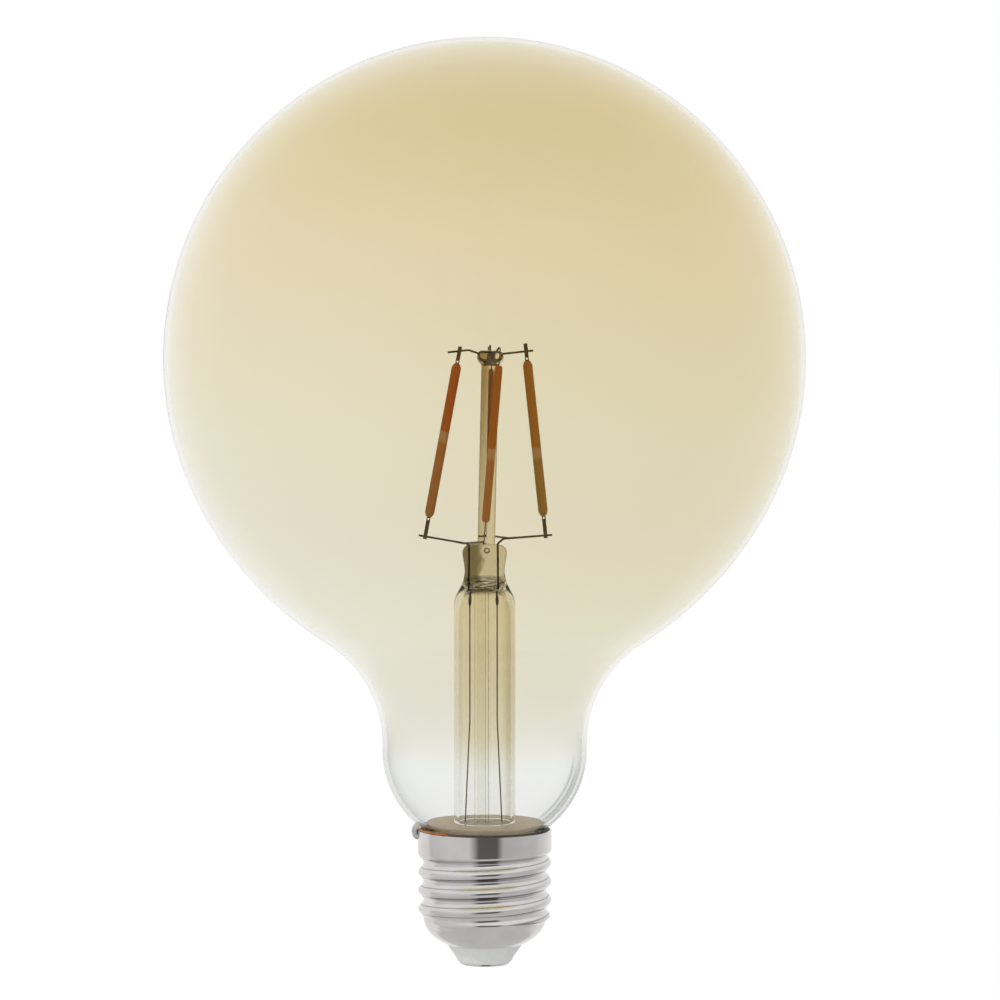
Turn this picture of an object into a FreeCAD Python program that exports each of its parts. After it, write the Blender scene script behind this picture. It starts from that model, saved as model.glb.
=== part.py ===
import FreeCAD
import Part
import math
import os

# Globe lamp: a blown glass globe on a 27 mm screw cap, with four upright filaments on a glass stem.
# Sizes are in millimetres. The origin is the centre of the end contact's lower face, +Z runs up
# the lamp's axis to the crown of the globe, and the front of the lamp faces -Y.
Vector = FreeCAD.Vector
up = Vector(0, 0, 1)

# Screw cap
cap_height = 26.4           # end contact to the rim
rim_radius = 13.1
rim_band = 3.8              # plain band above the thread
shell_wall = 0.3
thread_pitch = 3.629
thread_crest_radius = 13.05
thread_depth = 1.05
thread_phase_height = 16.3  # a crest lies this high on the +X side
thread_run_out = 1.5        # height over which the thread fades in and out
thread_sectors = 48         # the rolled shell is made as this many upright sectors
rows_per_turn = 8
bowl_height = 9.2           # where the shell's bowl meets the thread
bowl_bend_height = 6.1      # how far down the bowl stays steep
shell_end_radius = 7.7
shell_end_height = 4.0
seat_gap = 0.06             # between the thin shell and what fills it
wire_clearance = 0.01

# Base of the cap
insulator_radius = 7.5
insulator_tip_radius = 4.9
insulator_rounding = 0.9
insulator_top = 7.2
contact_thickness = 0.35
contact_radius = 4.9
contact_pin_radius = 1.3
contact_pin_length = 4.1

# Glass globe
glass_wall = 0.85
globe_radius = 62.5
lower_globe_radius = 71.0   # the globe turns fuller here, towards the neck
lower_globe_angle = 33.1    # degrees below the globe's middle
shoulder_radius = 23.5
neck_radius = 20.0
neck_length = 1.45          # the straight part of the neck
heel_radius = 18.7
collar_radius = 12.2
collar_rise = 0.3           # how far the collar shows above the rim
collar_depth = 1.8          # how far it goes down inside the cap

# Cement between the collar and the cap
cement_top_gap = 0.05        # between the cement and the rim's top edge
cement_depth = 3.4
cement_reach = 5.6          # how far it goes in under the glass

# Glass stem
stem_radius = 6.0
stem_wall = 0.9
flare_radius = 1.8
foot_lip = 1.4
press_base = 69.0
press_waist_width = 7.8
press_waist_depth = 5.2
press_head_width = 8.7
press_head_depth = 5.2
press_shoulder_rise = 2.2
press_waist_rise = 8.2
press_head_rise = 11.8
press_height = 13.5
exhaust_offset = -0.6
exhaust_radius = 1.45
exhaust_wall = 0.7
exhaust_fused = 0.5         # how far the exhaust tube is fused into the press
exhaust_tip = 17.8
exhaust_tip_radius = 0.6
exhaust_taper = 4.2
vent_radius = 0.55
vent_drop = 2.3             # from the top of the press to the vent hole
vent_offset = 0.43

# Support rod and its button
rod_radius = 1.72
rod_shortfall = 0.2         # how much shorter than a filament the rod is
rod_offset = 0.31
rod_tilt = 1.25             # degrees towards +X
rod_seat = 0.3
button_radius = 2.62
button_height = 2.9
button_top_radius = 2.1
button_edge = 0.3

# Wires
wire_radius = 0.2
tail_radius = 0.13          # the thin copper tails in the stem
side_wire_drop = 0.65       # from the top of the button
cross_wire_drop = 1.7
lead_offset = {"left": -2.9, "right": 2.45}
outer_lead_drift = 0.9      # how far the outer leads spread on their way to the cap
knot_radius = 0.5
knot_length = 2.3
knot_depth = 1.5            # from the top of the stem's hollow
knot_socket = 0.7
arm_bend = 0.9
arm_height = 1.7            # arm tips above the top of the press

# Filaments
filament_length = 38.2
bare_lower_end = 4.4        # lengths of the tabs outside the coat
bare_upper_end = 3.4
coat_radius = 0.92
coat_thickness = 1.5
coat_tip_radius = 0.48
coat_taper = 1.5
tab_width = 0.75
tab_thickness = 0.2
tab_grip = 1.2              # how far a tab reaches into the coat
tab_hole_radius = 0.2
tab_tail = 0.5              # how far a tab passes its lower wire
strip_width = 1.0
strip_thickness = 0.4

# Driver board in the cap
board_width = 16.0
board_height = 13.6
board_thickness = 1.0
board_face = 2.5            # the board's front face lies this far behind the axis
tongue_width = 6.0
tongue_depth = 1.8
slot_gap = 0.05
capacitor_radius = 3.15
capacitor_length = 9.0
capacitor_rise = 5.6
component_wire_radius = 0.25
resistor_radius = 1.15
resistor_length = 5.5
resistor_offset = -6.7
chip_width = 4.8
chip_height = 3.9
chip_thickness = 1.5
leg_width = 0.4
leg_reach = 0.9
leg_thickness = 0.2
chip_spacing = 5.6

# Solder at the rim, and the wire that it holds
solder_reach = 1.15
solder_width = 1.3
solder_height = 1.65
side_lead_radius = 0.2
side_lead_turn = 48.0       # degrees that the side lead runs along the rim


def at(radius, height):
    return Vector(radius, 0, height)


def line(start, end):
    return Part.LineSegment(start, end).toShape()


def arc(centre, radius, start, end):
    """An arc in the upright XZ plane; the angles are degrees up from +X."""
    points = []
    for angle in (start, (start + end) / 2, end):
        turn = math.radians(angle)
        points.append(centre + Vector(radius * math.cos(turn), 0, radius * math.sin(turn)))
    return Part.Arc(*points).toShape()


def chain(points):
    return [line(a, b) for a, b in zip(points, points[1:])]


def turned(edges):
    outline = Part.Wire(Part.sortEdges(edges)[0])
    return Part.Face(outline).revolve(Vector(0, 0, 0), up, 360)


def bent_wire(points, radius, bend=4.0):
    """A round wire along straight runs, with an arc at each corner."""
    edges = []
    last = points[0]
    for before, corner, after in zip(points, points[1:], points[2:]):
        come = (corner - before).normalize()
        go = (after - corner).normalize()
        half = come.getAngle(go) / 2
        if half < 0.002:
            continue
        shorter = min((corner - before).Length, (after - corner).Length)
        reach = min(bend * math.tan(half), 0.45 * shorter)
        sag = reach / math.tan(half) * (1 / math.cos(half) - 1)
        start = corner - come * reach
        middle = corner + (go - come).normalize() * sag
        end = corner + go * reach
        edges.append(line(last, start))
        edges.append(Part.Arc(start, middle, end).toShape())
        last = end
    edges.append(line(last, points[-1]))
    section = Part.Wire(Part.Circle(points[0], points[1] - points[0], radius).toShape())
    return Part.Wire(edges).makePipeShell([section], True, False)


def box(width, depth, height, centre):
    """A block centred on a point in X and Y, standing on it in Z."""
    return Part.makeBox(width, depth, height, centre - Vector(width / 2, depth / 2, 0))


# The rolled screw shell

valley_radius = thread_crest_radius - thread_depth
band_bottom = cap_height - rim_band


def eased(share):
    share = min(max(share, 0.0), 1.0)
    return share * share * (3 - 2 * share)


def bowl_radius(height):
    """The shell under its thread: a bowl that leaves the thread upright and curves inwards."""
    if height >= bowl_height:
        return valley_radius
    a = bowl_height - 2 * bowl_bend_height + shell_end_height
    b = 2 * (bowl_bend_height - bowl_height)
    c = bowl_height - height
    t = 2 * c / (-b + math.sqrt(b * b - 4 * a * c))
    return valley_radius * (1 - t * t) + shell_end_radius * t * t


def shell_radius(angle, height):
    """Outside of the shell: a right-hand knuckle thread that fades into the bowl and the band."""
    turns = (height - thread_phase_height) / thread_pitch - angle / 360
    wave = math.cos(2 * math.pi * turns) - 0.046 * math.cos(6 * math.pi * turns)
    fade = eased((height - bowl_height) / thread_run_out + 0.67)
    radius = bowl_radius(height) + thread_depth * fade * (1 + wave / 0.954) / 2
    band = eased((height - band_bottom) / thread_run_out + 1)
    return radius + (rim_radius - radius) * band


def wall_across(radius_at, height):
    """How wide the bent sheet is, measured level, where its outside has this slope."""
    low = max(height - 0.02, shell_end_height)
    high = min(height + 0.02, cap_height)
    slope = (radius_at(high) - radius_at(low)) / (high - low)
    return shell_wall * math.hypot(1, slope)


def shell_profile(angle, inside):
    rows = round((cap_height - shell_end_height) / thread_pitch * rows_per_turn)
    turn = math.radians(angle)
    points = []
    for row in range(rows + 1):
        height = shell_end_height + (cap_height - shell_end_height) * row / rows
        radius = shell_radius(angle, height)
        if inside:
            radius -= wall_across(lambda h: shell_radius(angle, h), height)
        points.append(Vector(radius * math.cos(turn), radius * math.sin(turn), height))
    curve = Part.BSplineCurve()
    curve.interpolate(points)
    return curve.toShape()


def screw_shell():
    faces = []
    rings = {"bottom": [], "top": []}
    for inside in (False, True):
        sector = 360 / thread_sectors
        profiles = [shell_profile(sector * n, inside) for n in range(thread_sectors)]
        for one, other in zip(profiles, profiles[1:] + profiles[:1]):
            faces.append(Part.makeRuledSurface(one, other))
        for end, parameter in (("bottom", "FirstParameter"), ("top", "LastParameter")):
            corners = [edge.valueAt(getattr(edge, parameter)) for edge in profiles]
            rings[end].append(Part.makePolygon(corners + corners[:1]))
    for ring in rings.values():
        faces.append(Part.makeFace(ring, "Part::FaceMakerBullseye"))
    shell = Part.makeShell(faces)
    shell.sewShape()
    solid = Part.Solid(shell)
    if solid.Volume < 0:
        solid.reverse()
    return solid


# The base of the cap

def cap_insulator():
    """Moulded plastic plug: a cone below the shell, and a body that fills the shell's bowl."""
    neck = shell_end_radius - wall_across(bowl_radius, shell_end_height) - seat_gap
    inside = []
    steps = 5
    for step in range(steps + 1):
        height = shell_end_height + (insulator_top - shell_end_height) * step / steps
        inside.append(at(bowl_radius(height) - wall_across(bowl_radius, height) - seat_gap, height))
    bowl = Part.BSplineCurve()
    bowl.interpolate(inside)
    ledge = at(insulator_radius, shell_end_height)
    rise = contact_thickness + insulator_rounding
    side = at(insulator_tip_radius + insulator_rounding * 0.75, rise)
    bottom = at(insulator_tip_radius, contact_thickness)
    bulge = (side + bottom) * 0.5 + at(0.12, -0.12) * insulator_rounding
    top = at(inside[-1].x, insulator_top)
    plug = turned(
        chain([at(0, contact_thickness), bottom])
        + [Part.Arc(bottom, bulge, side).toShape()]
        + chain([side, ledge, at(neck, shell_end_height)])
        + [bowl.toShape()]
        + chain([top, at(0, insulator_top), at(0, contact_thickness)])
    )
    plug = plug.cut(Part.makeCylinder(contact_pin_radius, contact_pin_length))
    plug = plug.cut(Part.makeCylinder(wire_radius, insulator_top + 1))
    slot = box(
        tongue_width + 2 * slot_gap,
        board_thickness + 2 * slot_gap,
        tongue_depth + 1,
        Vector(0, board_face + board_thickness / 2, insulator_top - tongue_depth),
    )
    return plug.cut(slot)


def end_contact():
    """A nail-shaped contact: its head is the lamp's centre contact, its pin grips in the plug."""
    head = Part.makeCylinder(contact_radius, contact_thickness)
    head = head.makeFillet(contact_thickness * 0.45, [head.Edges[2]])
    return head.fuse(Part.makeCylinder(contact_pin_radius, contact_pin_length)).removeSplitter()


# The glass globe

collar_top = cap_height + collar_rise
collar_bottom = cap_height - collar_depth
heel_centre = at(neck_radius - heel_radius, 0)
heel_centre.z = collar_top + math.sqrt(heel_radius**2 - (collar_radius - heel_centre.x) ** 2)
shoulder_centre = at(neck_radius + shoulder_radius, heel_centre.z + neck_length)
fuller = globe_radius - lower_globe_radius
tilt = math.radians(lower_globe_angle)
across = shoulder_centre.x - fuller * math.cos(tilt)
rise = math.sqrt((lower_globe_radius + shoulder_radius) ** 2 - across**2)
lower_centre = at(fuller * math.cos(tilt), shoulder_centre.z + rise)
globe_centre = at(0, lower_centre.z + fuller * math.sin(tilt))
shoulder_angle = math.degrees(math.atan2(rise, -across))
foot_radius = collar_radius - glass_wall
heel_inside = heel_radius - glass_wall
foot_top = heel_centre.z - math.sqrt(heel_inside**2 - (foot_radius - heel_centre.x) ** 2)


def envelope_outline(inset):
    """From the collar to the crown; the inner face is the same arcs, one wall further in."""
    collar = collar_radius - inset
    heel = heel_radius - inset
    angle = math.degrees(math.acos((collar - heel_centre.x) / heel))
    heel_end = heel_centre.z - heel * math.sin(math.radians(angle))
    return [
        line(at(collar, collar_bottom), at(collar, heel_end)),
        arc(heel_centre, heel, -angle, 0),
        line(at(neck_radius - inset, heel_centre.z), at(neck_radius - inset, shoulder_centre.z)),
        arc(shoulder_centre, shoulder_radius + inset, 180, shoulder_angle),
        arc(lower_centre, lower_globe_radius - inset, shoulder_angle - 180, -lower_globe_angle),
        arc(globe_centre, globe_radius - inset, -lower_globe_angle, 90),
    ]


def glass_envelope():
    outer = envelope_outline(0)
    inner = envelope_outline(glass_wall)
    crown = globe_centre.z + globe_radius
    foot = line(at(collar_radius, collar_bottom), at(collar_radius - glass_wall, collar_bottom))
    return turned(outer + inner + [foot, line(at(0, crown), at(0, crown - glass_wall))])


def envelope_core():
    """The whole space that the globe's outside holds."""
    crown = globe_centre.z + globe_radius
    axis = chain([at(0, crown), at(0, collar_bottom), at(collar_radius, collar_bottom)])
    return turned(envelope_outline(0) + axis)


def basing_cement():
    """Hard brown cement: a ring between the glass collar and the cap, and a bed under the glass."""
    outer = rim_radius - shell_wall - seat_gap
    top = cap_height - cement_top_gap
    bottom = top - cement_depth
    bed = foot_top - stem_wall - seat_gap
    inside = collar_radius - glass_wall - seat_gap
    corners = [
        at(collar_radius, collar_top),
        at(outer, top),
        at(outer, bottom),
        at(collar_radius - cement_reach, bottom),
        at(collar_radius - cement_reach, bed - seat_gap),
        at(stem_radius + flare_radius, bed),
        at(inside, foot_top - foot_lip - seat_gap),
        at(inside, collar_bottom),
        at(collar_radius, collar_bottom),
        at(collar_radius, collar_top),
    ]
    return turned(chain(corners)).cut(side_lead())


# The glass stem

hollow_radius = stem_radius - stem_wall
hollow_top = press_base + hollow_radius
press_top = press_base + press_height


def oval(width, depth, height):
    """A level ellipse, the section of the pinched glass."""
    if width > depth:
        curve = Part.Ellipse(Vector(0, 0, height), width / 2, depth / 2)
    else:
        curve = Part.Circle(Vector(0, 0, height), up, width / 2)
    return Part.Wire(curve.toShape())


def stem_press():
    """Flare tube with its trumpet foot, pinched flat at the top around the wires."""
    mouth = at(stem_radius + flare_radius, foot_top + flare_radius)
    tube = turned(
        [
            line(at(foot_radius, foot_top - foot_lip), at(foot_radius, foot_top)),
            line(at(foot_radius, foot_top), at(mouth.x, foot_top)),
            arc(mouth, flare_radius, 270, 180),
            line(at(stem_radius, mouth.z), at(stem_radius, press_base)),
            line(at(stem_radius, press_base), at(hollow_radius, press_base)),
            line(at(hollow_radius, press_base), at(hollow_radius, mouth.z)),
            arc(mouth, flare_radius + stem_wall, 180, 270),
            line(at(mouth.x, foot_top - stem_wall), at(foot_radius, foot_top - foot_lip)),
        ]
    )
    full = 2 * stem_radius
    shoulder = press_base + press_shoulder_rise
    narrowing = press_waist_rise - press_shoulder_rise
    sections = [
        oval(full, full, press_base),
        oval(full - 0.05, full - 0.2, shoulder),
        oval(full * 0.93, full * 0.87, shoulder + narrowing * 0.2),
        oval(full * 0.83, full * 0.7, shoulder + narrowing * 0.39),
        oval(press_waist_width * 1.14, press_waist_depth * 1.3, shoulder + narrowing * 0.56),
        oval(press_waist_width * 1.06, press_waist_depth * 1.11, shoulder + narrowing * 0.73),
        oval(press_waist_width, press_waist_depth, press_base + press_waist_rise),
        oval(press_head_width, press_head_depth, press_base + press_head_rise),
        oval(press_head_width * 0.93, press_head_depth * 0.94, press_top - 0.9),
        oval(press_head_width * 0.62, press_head_depth * 0.72, press_top),
    ]
    press = Part.makeLoft(sections, True, False)
    press = press.cut(Part.makeSphere(hollow_radius, Vector(0, 0, press_base)))
    glass = tube.fuse(press)
    rod = Part.makeCylinder(rod_radius, rod_length)
    rod.Placement = rod_placement
    tube_end = Vector(exhaust_offset, 0, hollow_top - 2)
    exhaust = Part.makeCylinder(exhaust_radius, 2 + exhaust_fused, tube_end)
    fused = Vector(exhaust_offset, 0, hollow_top + exhaust_fused)
    vent = Vector(vent_offset, 0, press_top - vent_drop)
    flue = Part.makeCylinder(vent_radius, (vent - fused).Length, fused, vent - fused)
    outlet = Part.makeCylinder(vent_radius, press_head_depth, vent, Vector(0, -1, 0))
    for hole in [rod, exhaust, flue, outlet, Part.makeSphere(vent_radius, vent)]:
        glass = glass.cut(hole)
    for side in lead_offset:
        glass = glass.cut(inner_lead(side))
    return glass.removeSplitter()


def exhaust_tube():
    """The pumping tube inside the stem, drawn off to a closed round tip."""
    top = hollow_top + exhaust_fused
    bore = exhaust_radius - exhaust_wall
    shoulder = exhaust_tip + exhaust_taper
    tip_centre = at(0, exhaust_tip + exhaust_tip_radius)
    tube = turned(
        chain([at(bore, top), at(exhaust_radius, top), at(exhaust_radius, shoulder)])
        + [line(at(exhaust_radius, shoulder), at(exhaust_tip_radius, tip_centre.z))]
        + [arc(tip_centre, exhaust_tip_radius, 0, -90)]
        + [line(at(0, exhaust_tip), at(0, shoulder - bore))]
        + [arc(at(0, shoulder), bore, -90, 0), line(at(bore, shoulder), at(bore, top))]
    )
    tube.translate(Vector(exhaust_offset, 0, 0))
    return tube


rod_length = filament_length - rod_shortfall
rod_foot = Vector(rod_offset, 0, press_top - rod_seat)
rod_placement = FreeCAD.Placement(rod_foot, FreeCAD.Rotation(Vector(0, 1, 0), rod_tilt))
button_top = rod_placement.multVec(Vector(0, 0, rod_length))


def support_rod():
    """Glass rod that stands on the press; its top is melted into a button around two wires."""
    bulge = rod_length - button_height * 0.55
    start = rod_length - button_height
    edge = rod_length - button_edge
    crown = Part.Arc(at(rod_radius, start), at(button_radius, bulge), at(button_top_radius, edge))
    rod = turned(
        chain([at(0, rod_length), at(0, 0), at(rod_radius, 0), at(rod_radius, start)])
        + [crown.toShape()]
        + chain([at(button_top_radius, edge), at(button_top_radius - button_edge, rod_length)])
        + chain([at(button_top_radius - button_edge, rod_length), at(0, rod_length)])
    )
    rod.Placement = rod_placement
    return rod.cut(side_wire()).cut(cross_wire())


# Filament welds: where each filament crosses its lower wire and its upper wire

side_wire_height = button_top.z - side_wire_drop
cross_wire_height = button_top.z - cross_wire_drop
arm_tip = press_top + arm_height
welds = {
    "left": (Vector(-11.6, 0, arm_tip - 0.3), Vector(-4.9, 0, side_wire_height + 0.55)),
    "right": (Vector(11.9, 0, arm_tip - 0.1), Vector(8.1, 0, side_wire_height + 0.5)),
    "front": (Vector(-0.55, -11.4, press_top + 1.05), Vector(2.6, -6.9, cross_wire_height + 2.1)),
    "rear": (Vector(0.85, 11.4, press_top + 0.8), Vector(1.07, 6.9, cross_wire_height + 2.2)),
}


def beyond(start, end, distance):
    return end + (end - start).normalize() * distance


# Where the last straight run of each wire starts, on its way to its filament

by_button = Vector(button_top.x - button_radius * 0.8, 0, side_wire_height)
hump = Vector(welds["left"][1].x + 1.8, 0, welds["left"][1].z + 0.2)
cross_reach = button_radius * 1.15
upper_run = {
    "left": hump,
    "right": Vector(button_top.x + button_radius * 0.9, 0, side_wire_height),
    "front": Vector(button_top.x + 0.15, -cross_reach, cross_wire_height + 0.1),
    "rear": Vector(button_top.x, cross_reach, cross_wire_height + 0.1),
}
lower_run = {
    "left": Vector(lead_offset["left"], 0, press_top - 0.1),
    "right": Vector(lead_offset["right"] + 1.2, 0, press_top + 0.95),
}
branch_side = {"front": "left", "rear": "right"}
branch_depth = {"front": -2 * wire_radius, "rear": 2 * wire_radius}
branch_start = {}
for end, side in branch_side.items():
    beside = Vector(0, branch_depth[end], 0)
    along = (welds[side][0] - lower_run[side]).normalize()
    lower_run[end] = lower_run[side] + beside + along * 1.1
    branch_start[end] = lower_run[side] + beside + along * 2.4


def side_wire():
    """The wire through the button that carries the left and right filaments."""
    far_side = upper_run["right"]
    points = [beyond(hump, welds["left"][1], 2.3), hump, by_button, far_side]
    points.append(beyond(far_side, welds["right"][1], 1.4))
    return bent_wire(points, wire_radius, 1.2)


def cross_wire():
    """The lower wire through the button, for the front and rear filaments."""
    near = upper_run["front"]
    far = upper_run["rear"]
    middle = Vector(button_top.x, 0, cross_wire_height)
    tips = [beyond(near, welds["front"][1], 0.7), beyond(far, welds["rear"][1], 0.6)]
    return bent_wire([tips[0], near, middle, far, tips[1]], wire_radius, 2.0)


knot_top = hollow_top - knot_depth


def inner_lead(side):
    """From the weld knot up through the press, and out to the lower end of a side filament."""
    x = lead_offset[side]
    points = [Vector(x, 0, knot_top - knot_socket), Vector(x, 0, press_top - 0.1)]
    if side == "right":
        points.append(lower_run[side])
    points.append(beyond(points[-1], welds[side][0], 1.3))
    return bent_wire(points, wire_radius, arm_bend)


def branch_lead(end):
    """A shorter wire, welded beside a side lead, out to the front or rear filament."""
    bend = lower_run[end]
    tip = beyond(bend, welds[end][0], 0.7)
    return bent_wire([branch_start[end], bend, tip], wire_radius, 0.5)


def weld_knot(side):
    """The bead where a lead is welded to its copper tail under the press."""
    top = at(knot_radius * 0.7, knot_top)
    bottom = at(knot_radius * 0.7, knot_top - knot_length)
    waist = at(knot_radius, knot_top - knot_length / 2)
    bead = turned(
        [line(at(0, knot_top), top), Part.Arc(top, waist, bottom).toShape()]
        + chain([bottom, at(0, knot_top - knot_length), at(0, knot_top)])
    )
    bead.translate(Vector(lead_offset[side], 0, 0))
    return bead.cut(inner_lead(side)).cut(outer_lead(side))


board_bottom = insulator_top
board_top = board_bottom + board_height
pad_depth = board_face - wire_radius


def outer_lead(side):
    """Copper tail from the weld knot, down the stem to the driver board."""
    x = lead_offset[side]
    outwards = math.copysign(1, x)
    mouth = x + outwards * outer_lead_drift
    pad = outwards * (abs(mouth) + 0.8)
    pad_y = board_face - tail_radius
    points = [
        Vector(x, 0, knot_top - knot_length + knot_socket),
        Vector(x, 0, (press_base + foot_top) / 2),
        Vector(mouth, 0, foot_top + 1),
        Vector(pad, pad_y, board_top + 0.6),
        Vector(pad, pad_y, board_top - 2.6),
    ]
    return bent_wire(points, tail_radius, 3.0)


# Filaments: a carrier strip with light chips, a metal tab at each end, and the yellow coat

def weld_shift(run, sideways, aim):
    """How far a tab stands off a wire's axis, so that the wire just touches the tab's flat."""
    across = run - aim * run.dot(aim)
    slant = abs(across.normalize().dot(sideways))
    level = math.sqrt(1 - slant * slant)
    return tab_thickness / 2 + (wire_radius + tab_width / 2 * slant) / level


tab_side = {
    "left": Vector(0, -1, 0),
    "right": Vector(0, -1, 0),
    "front": Vector(1, 0, 0),
    "rear": Vector(-1, 0, 0),
}


def filament_placement(end):
    """The filament's foot and turn: its flat faces a little to one side of both wires."""
    lower, upper = welds[end]
    aim = (upper - lower).normalize()
    outwards = Vector(lower.x, lower.y, 0).normalize()
    sideways = aim.cross(outwards).normalize()
    if sideways.dot(tab_side[end]) < 0:
        sideways = -sideways
    lower = lower + sideways * weld_shift(lower - lower_run[end], sideways, aim)
    upper = upper + sideways * weld_shift(upper - upper_run[end], sideways, aim)
    aim = (upper - lower).normalize()
    sideways = (sideways - aim * sideways.dot(aim)).normalize()
    turn = FreeCAD.Rotation(sideways.cross(aim), sideways, aim, "ZYX")
    return FreeCAD.Placement(lower - aim * tab_tail, turn)


def bar(width, thickness, start, end):
    return box(width, thickness, end - start, Vector(0, 0, start))


coat_start = bare_lower_end
coat_end = filament_length - bare_upper_end
strip_start = coat_start + tab_grip
strip_end = coat_end - tab_grip


def filament_tab(end, upper):
    """Metal end strip with a small eye just outside the coat."""
    tab = bar(tab_width, tab_thickness, 0, strip_start)
    eye_height = coat_start - 2 * tab_hole_radius
    if upper:
        tab = bar(tab_width, tab_thickness, strip_end, filament_length)
        eye_height = coat_end + 2 * tab_hole_radius
    front_of_tab = Vector(0, -tab_thickness, eye_height)
    tab = tab.cut(Part.makeCylinder(tab_hole_radius, 2 * tab_thickness, front_of_tab, Vector(0, 1, 0)))
    tab.Placement = filament_placement(end)
    return tab


def filament_strip(end):
    """Carrier strip for the light chips."""
    strip = bar(strip_width, strip_thickness, strip_start, strip_end)
    strip.Placement = filament_placement(end)
    return strip


def filament_coat(end):
    """The yellow coat: round edges, flat faces, rounded ends, around the strip and both tabs."""
    bend = (coat_tip_radius + coat_radius) / 2 + 0.1
    full_start = coat_start + coat_taper
    full_end = coat_end - coat_taper
    bend_rise = coat_taper * 0.36
    bottom = at(coat_tip_radius, coat_start)
    top = at(coat_tip_radius, coat_end)
    lower = Part.Arc(bottom, at(bend, coat_start + bend_rise), at(coat_radius, full_start))
    upper = Part.Arc(at(coat_radius, full_end), at(bend, coat_end - bend_rise), top)
    coat = turned(
        [line(at(0, coat_start), bottom), lower.toShape()]
        + [line(at(coat_radius, full_start), at(coat_radius, full_end)), upper.toShape()]
        + chain([top, at(0, coat_end), at(0, coat_start)])
    )
    coat = coat.common(bar(3 * coat_radius, coat_thickness, 0, filament_length))
    coat = coat.cut(bar(strip_width, strip_thickness, strip_start, strip_end))
    coat = coat.cut(bar(tab_width, tab_thickness, 0, strip_start))
    coat = coat.cut(bar(tab_width, tab_thickness, strip_end, filament_length))
    coat.Placement = filament_placement(end)
    return coat


# The side lead, and the solder that joins it to the rim

def side_lead():
    """Bare copper wire that comes up through the cement and lies along the rim to the solder."""
    on_rim = rim_radius - shell_wall / 2
    height = cap_height + side_lead_radius + wire_clearance
    in_gap = (collar_radius + rim_radius - shell_wall) / 2
    points = []
    steps = 4
    for step in range(steps + 1):
        turn = math.radians(180 + side_lead_turn * step / steps)
        points.append(Vector(on_rim * math.cos(turn), on_rim * math.sin(turn), height))
    turn = math.radians(180 + side_lead_turn + 7)
    inwards = Vector(in_gap * math.cos(turn), in_gap * math.sin(turn), height + 0.1)
    points.append(inwards)
    below = cap_height - cement_top_gap - cement_depth - 1.2
    points.append(Vector(inwards.x, inwards.y, below))
    pad_x = -board_width / 2 + 1.2
    pad = board_face - side_lead_radius
    points.append(Vector(pad_x, pad, board_top + 0.3))
    points.append(Vector(pad_x, pad, board_top - 1.8))
    return bent_wire(points, side_lead_radius, 1.0)


def rim_solder():
    """A blob of solder over the rim's edge on the -X side."""
    blob = Part.makeSphere(1, Vector(0, 0, 0), up, -90, 90, 360)
    stretch = FreeCAD.Matrix()
    stretch.scale(solder_reach, solder_width, solder_height)
    blob = blob.transformGeometry(stretch)
    blob.translate(Vector(-rim_radius - 0.1, 0, cap_height - 0.35))
    blob = blob.cut(Part.makeCylinder(rim_radius, cap_height))
    blob = blob.cut(Part.makeCylinder(rim_radius - shell_wall, cap_height + solder_height))
    return blob.cut(envelope_core()).cut(side_lead())


# The driver in the cap

def driver_board():
    """Circuit board with a tongue that stands in the plug's slot."""
    middle = board_face + board_thickness / 2
    panel = box(board_width, board_thickness, board_height, Vector(0, middle, board_bottom))
    tongue_foot = Vector(0, middle, board_bottom - tongue_depth)
    tongue = box(tongue_width, board_thickness, tongue_depth, tongue_foot)
    board = panel.fuse(tongue).removeSplitter()
    for hole in capacitor_leads() + resistor_leads():
        board = board.cut(hole)
    return board


capacitor_height = board_bottom + capacitor_rise
capacitor_depth = board_face - capacitor_radius


def capacitor_leads():
    """Two round leads from the capacitor's end, bent back through the board."""
    leads = []
    for rise in (-1.25, 1.25):
        height = capacitor_height + rise
        end = capacitor_length / 2
        points = [
            Vector(end, capacitor_depth, height),
            Vector(end + 1.2, capacitor_depth, height),
            Vector(end + 1.2, board_face + board_thickness + 0.6, height),
        ]
        leads.append(bent_wire(points, component_wire_radius, 0.6))
    return leads


def capacitor():
    """Aluminium can lying across the board, with a rolled groove near its sealed end."""
    half = capacitor_length / 2
    corner = 0.4
    groove = half - 1.6
    groove_reach = 0.5
    groove_start = at(capacitor_radius, groove - groove_reach)
    groove_end = at(capacitor_radius, groove + groove_reach)
    groove_floor = at(capacitor_radius - 0.3, groove)
    can = turned(
        chain([at(0, half), at(0, -half), at(capacitor_radius - corner, -half)])
        + [arc(at(capacitor_radius - corner, corner - half), corner, -90, 0)]
        + [line(at(capacitor_radius, corner - half), groove_start)]
        + [Part.Arc(groove_start, groove_floor, groove_end).toShape()]
        + chain([groove_end, at(capacitor_radius, half), at(0, half)])
    )
    turn = FreeCAD.Rotation(Vector(0, 1, 0), 90)
    can.Placement = FreeCAD.Placement(Vector(0, capacitor_depth, capacitor_height), turn)
    return can


resistor_depth = board_face - resistor_radius
resistor_middle = board_bottom + board_height * 0.42


def resistor_leads():
    """The resistor's two end wires, bent back into the board."""
    leads = []
    for way in (-1, 1):
        end = resistor_middle + way * resistor_length / 2
        points = [
            Vector(resistor_offset, resistor_depth, end),
            Vector(resistor_offset, resistor_depth, end + way * 1.1),
            Vector(resistor_offset, board_face + board_thickness + 0.6, end + way * 1.1),
        ]
        leads.append(bent_wire(points, component_wire_radius, 0.5))
    return leads


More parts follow.
